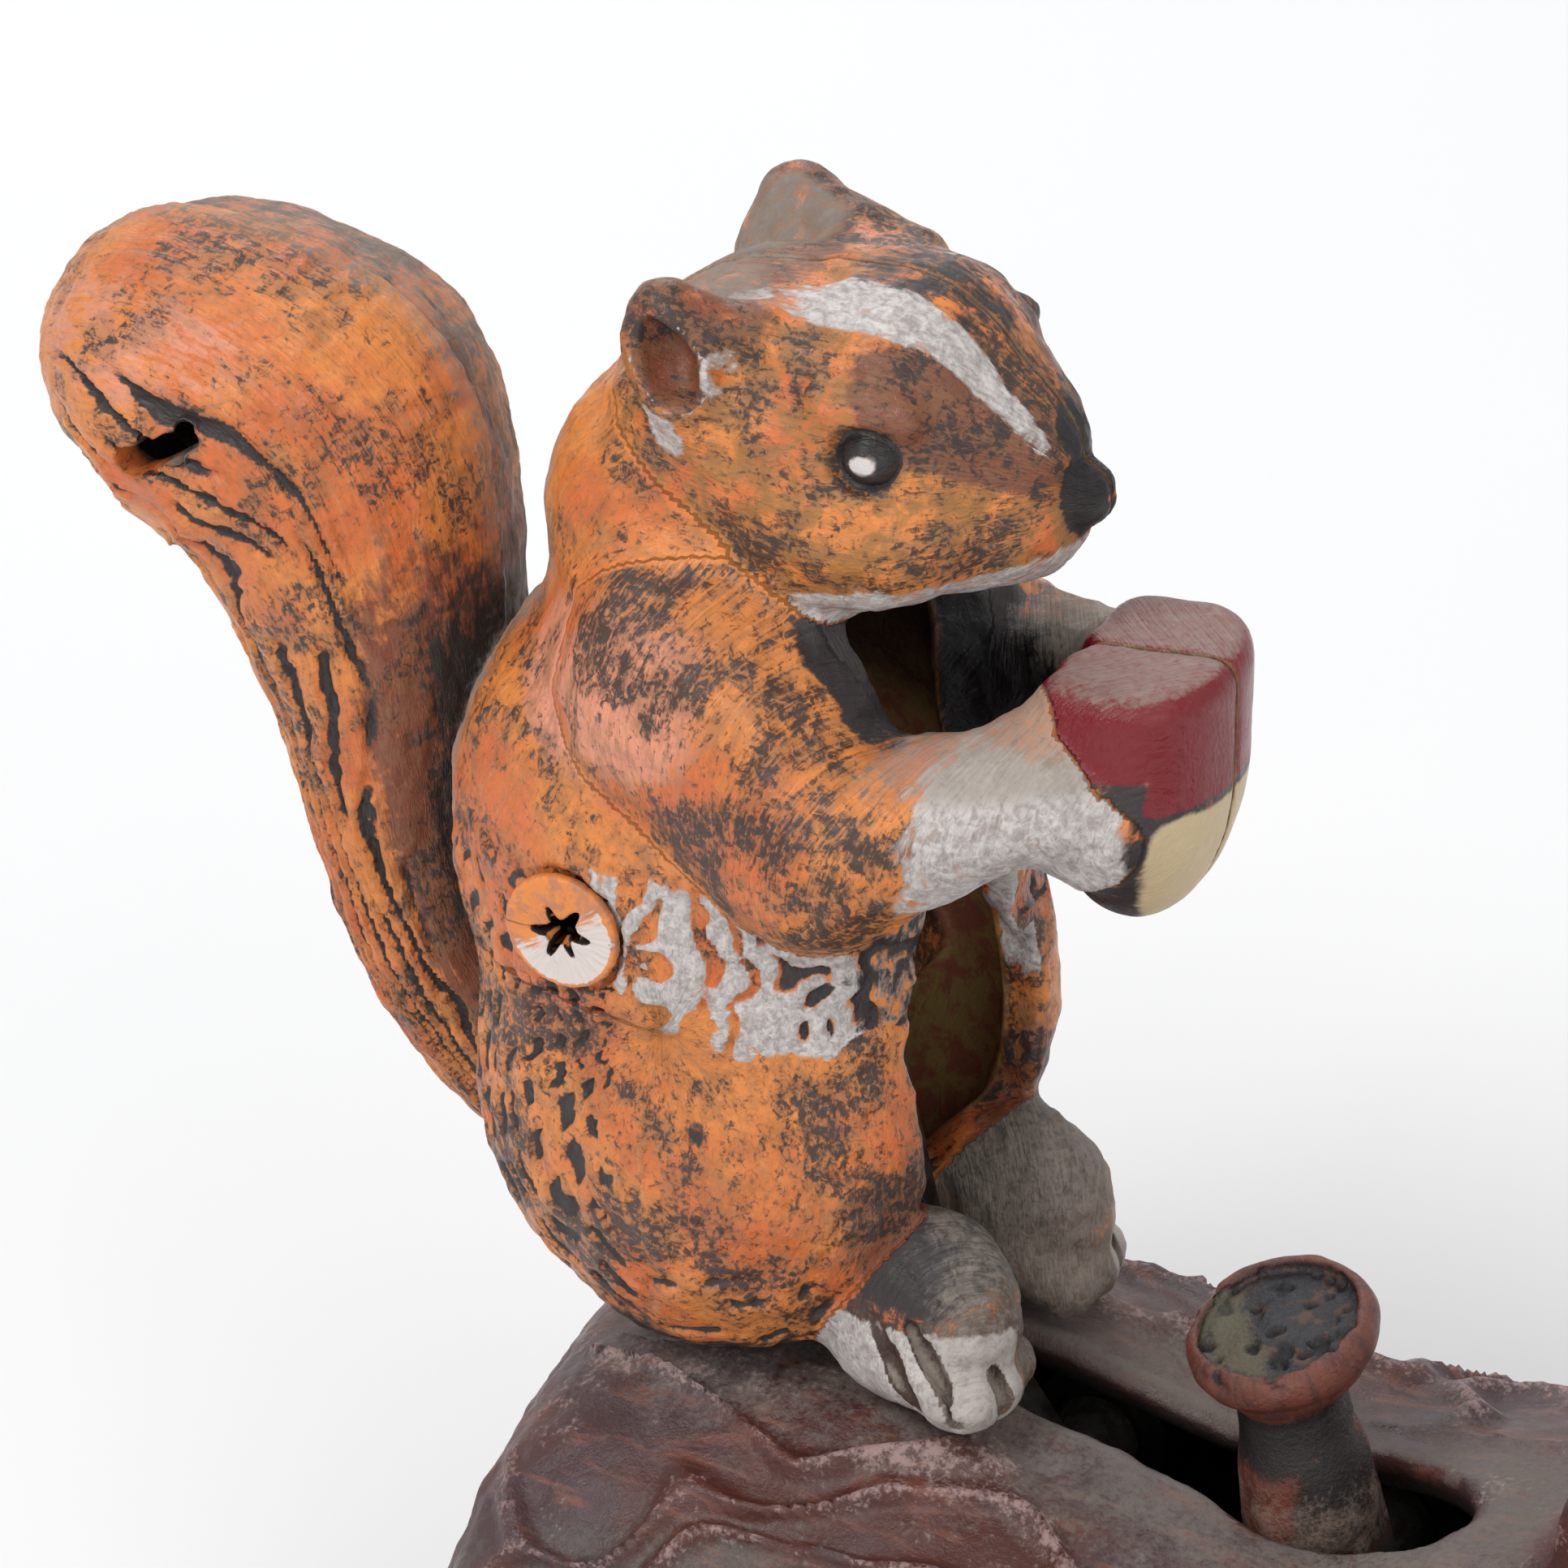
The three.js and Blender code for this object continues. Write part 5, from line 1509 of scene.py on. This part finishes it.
STUB_BROWN = linear(108, 58, 44)
STUB_DARK_BROWN = linear(84, 46, 38)
STUB_BLACK = linear(34, 28, 27)
STUB_DUST = linear(140, 118, 104)
STUB_CREVICE_SHADE = linear(30, 25, 24)
STUB_IRON = linear(62, 58, 55)
CUP_BLUE_BLACK = linear(30, 30, 36)
CUP_RUST = linear(84, 60, 46)
CUP_WORN = linear(86, 80, 62)
CUP_PIT = linear(14, 13, 15)


def stub_paint():
    """Red-brown paint, worn and pitted to black iron in the cup, with painted shade in the hollows."""
    paint = Finish("stub_paint")
    streak = paint.streaks((0.25, 0.9, 1.0), 5, 0.62)
    mottle = paint.noise(paint.place, 0.55, 5, 0.62)
    speck = paint.noise(paint.place, 2.6, 4, 0.7)
    grain = paint.both(speck, 0.5, mottle)
    colour = paint.mix(paint.ramp(streak, 0.45, 0.6), STUB_BROWN, STUB_DARK_BROWN)
    colour = paint.over(colour, STUB_BLACK, "black", grain, 1.7, 0.15)
    colour = paint.over(colour, STUB_DUST, "dust", grain, 1.8, 0.25, 0.7)
    cup = paint.mix(paint.ramp(mottle, 0.5, 0.62), CUP_BLUE_BLACK, CUP_RUST)
    cup = paint.over(cup, CUP_WORN, "worn", grain, 1.5, 0.2)
    cup = paint.mix(paint.attribute("pits"), cup, CUP_PIT)
    colour = paint.mix(paint.attribute("cup"), colour, cup)
    # Painted shade: darker in the hollows.
    colour = paint.over(colour, STUB_CREVICE_SHADE, "crevice", grain, 1.4, 0.2)
    colour = paint.mix(paint.attribute("iron"), colour, STUB_IRON)
    rough = paint.ramp(mottle, 0.35, 0.65, 0.36, 0.56)
    return paint.finish(colour, rough, 0.0, paint.both(speck, 0.6, mottle), 0.28)


# Bare metals: light and dark colour, roughness, and how finely they are scratched along x, y and z.
METALS = {
    "dark_iron": (linear(72, 69, 66), linear(48, 42, 38), 0.55, (0.6, 3.0, 0.6)),
    "bright_steel": (linear(176, 173, 168), linear(140, 132, 122), 0.34, (4.0, 0.4, 4.0)),
    "spring_steel": (linear(140, 140, 143), linear(104, 98, 92), 0.3, (0.5, 4.0, 4.0)),
}
METALLIC = 0.85


def metal_finish(name, light, dark, roughness, scratches):
    """A bare metal, clouded and finely scratched."""
    paint = Finish(name)
    mottle = paint.noise(paint.place, 0.5, 5, 0.6)
    scratch = paint.noise(paint.stretch(paint.place, scratches), 1.0, 4, 0.65)
    colour = paint.mix(paint.ramp(mottle, 0.38, 0.64), light, dark)
    rough = paint.ramp(scratch, 0.3, 0.7, roughness - 0.08, roughness + 0.12)
    return paint.finish(colour, rough, METALLIC, paint.both(scratch, 0.6, mottle), 0.05)


def build_materials():
    """One material for each of the record's slots."""
    materials = {
        "fur_paint": fur_paint(),
        "rivet_paint": rivet_paint(),
        "bark_paint": bark_paint(),
        "stub_paint": stub_paint(),
    }
    for name, looks in METALS.items():
        materials[name] = metal_finish(name, *looks)
    return materials


# ------------------------------------------------------------------ the spring

SPRING_WIRE = 0.6
SPRING_COIL_RADIUS = 3.0
SPRING_TURNS = 6
SPRING_COIL = (13.2, 29.2)        # where the coil starts and ends, from the stub's axle


def swept_tube(path, radius, sides):
    """A round wire along a path, its ends closed: vertices and quads."""
    path = np.array(path, float)
    tangents = np.gradient(path, axis=0)
    tangents /= np.linalg.norm(tangents, axis=1)[:, None]
    side = np.array([0.0, 1.0, 0.0])
    angles = np.arange(sides) * 2 * math.pi / sides
    rings = []
    for place, tangent in zip(path, tangents):
        side = side - tangent * (side @ tangent)
        side /= np.linalg.norm(side)
        other = np.cross(tangent, side)
        rings.append(place + radius * (np.cos(angles)[:, None] * side + np.sin(angles)[:, None] * other))
    rings = [path[:1].repeat(sides, axis=0)] + rings + [path[-1:].repeat(sides, axis=0)]
    here = np.arange(len(rings) - 1)[:, None] * sides + np.arange(sides)
    beside = np.roll(here, -1, axis=1)
    faces = np.stack([here, beside, beside + sides, here + sides], axis=-1).reshape(-1, 4)
    return np.concatenate(rings), faces


def return_spring():
    """The coil that turns the stub upright, as one fixed mesh that does not follow the stub."""
    low, high = node_box("return_spring")
    z = STUB_AXLE[2] - STUB_ARM
    coil_start, coil_end = (STUB_AXLE[0] + x for x in SPRING_COIL)
    samples = 200
    path = [(x, 0, z) for x in np.linspace(low[0], coil_start - 2, 6)]
    for i in range(samples + 1):
        share = i / samples
        angle = 2 * math.pi * SPRING_TURNS * share
        radius = SPRING_COIL_RADIUS * float(ease(share, 0, 0.06) * ease(share, 1, 0.94))
        x = coil_start + (coil_end - coil_start) * share
        path.append((x, radius * math.cos(angle), z + radius * math.sin(angle)))
    path += [(x, 0, z) for x in np.linspace(coil_end + 1, high[0], 5)]
    vertices, faces = swept_tube(path, SPRING_WIRE, 10)
    piece = blender_piece("return_spring_coil", vertices, faces, {})
    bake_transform(piece)
    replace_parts(piece, "return_spring")
    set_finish(piece, "spring_steel")
    return piece


# ------------------------------------------------------------------ the whole object

materials = build_materials()
built = [
    chipmunk_half("chipmunk_half_right", -1),
    chipmunk_half("chipmunk_half_left", 1),
    body_rivet(),
    anvil_stub(),
    log_casting(),
    return_spring(),
]
for piece in built:
    piece.data.materials.append(materials[piece["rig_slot"]])
replaced = {name for piece in built for name in piece["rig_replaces"]}
for part in frame["record"]["subparts"]:
    if part["node"] not in replaced:
        node = frame["nodes"][part["node"]]
        node.data.materials.clear()
        node.data.materials.append(materials[part["material_slot"]])


# ------------------------------------------------------------------ floor, light and camera

CAMERA_TURN = 27.0
CAMERA_RISE = 30.0
CAMERA_TARGET = (BOW_AXLE[0] - 22.3, 0.0, BOW_AXLE[2] + 62.2)
CAMERA_DISTANCE = 500.0
VIEW_WIDTH = 120.75               # how much of the object fits across the view

BACKDROP_BEND_STEPS = 12
FLOOR_GAP = 0.0005                # the floor lies this many metres below the object


def plain_stage():
    """A pale floor that curves up into a backdrop behind the object."""
    depth, height, half_width, bend = 0.9, 1.6, 2.4, 0.5
    profile = [(-2.2, 0.0), (depth, 0.0)]
    for i in range(1, BACKDROP_BEND_STEPS + 1):
        angle = math.pi / 2 * i / BACKDROP_BEND_STEPS
        profile.append((depth + bend * math.sin(angle), bend * (1 - math.cos(angle))))
    profile.append((depth + bend, height))
    vertices = [(x, y, z - FLOOR_GAP) for x in (-half_width, half_width) for y, z in profile]
    count = len(profile)
    faces = [(i, i + 1, i + 1 + count, i + count) for i in range(count - 1)]
    mesh = bpy.data.meshes.new("backdrop")
    mesh.from_pydata(vertices, [], faces)
    mesh.shade_smooth()
    backdrop = bpy.data.objects.new("backdrop", mesh)
    backdrop.rotation_euler = (0, 0, math.radians(CAMERA_TURN))
    bpy.context.scene.collection.objects.link(backdrop)
    paper = Finish("backdrop_paper")
    tint = paper.mix(paper.noise(paper.place, 0.01, 2), linear(236, 237, 238), linear(239, 239, 240))
    backdrop.data.materials.append(paper.finish(tint, 0.9))


def area_light(name, place, target, size, power):
    """A round lamp at a place in metres that shines at the target."""
    light = bpy.data.lights.new(name, "AREA")
    light.shape = "DISK"
    light.size = size
    light.energy = power
    lamp = bpy.data.objects.new(name, light)
    lamp.location = place
    lamp.rotation_euler = (Vector(target) - Vector(place)).to_track_quat("-Z", "Y").to_euler()
    bpy.context.scene.collection.objects.link(lamp)


turn, rise = math.radians(CAMERA_TURN), math.radians(CAMERA_RISE)
towards_camera = Vector((math.cos(rise) * math.sin(turn), -math.cos(rise) * math.cos(turn), math.sin(rise)))
target = Vector(CAMERA_TARGET) * MM
camera_data = bpy.data.cameras.new("photo_view")
camera_data.angle = 2 * math.atan(VIEW_WIDTH / 2 / CAMERA_DISTANCE)
camera_data.clip_start = 0.02
camera_data.clip_end = 20
camera = bpy.data.objects.new("photo_view", camera_data)
camera.location = target + towards_camera * CAMERA_DISTANCE * MM
camera.rotation_euler = towards_camera.to_track_quat("Z", "Y").to_euler()
bpy.context.scene.collection.objects.link(camera)
bpy.context.scene.camera = camera

plain_stage()
area_light("key", (-0.35, -0.75, 1.05), target, 0.55, 8)
area_light("fill", (0.85, -0.55, 0.65), target, 0.9, 3.5)
area_light("back", (-0.5, 0.7, 0.8), target, 0.7, 3.5)

world = bpy.data.worlds.new("studio")
world.use_nodes = True
world.node_tree.nodes["Background"].inputs["Color"].default_value = (1, 1, 1, 1)
world.node_tree.nodes["Background"].inputs["Strength"].default_value = 0.55
bpy.context.scene.world = world
bpy.context.scene.view_settings.view_transform = "Standard"
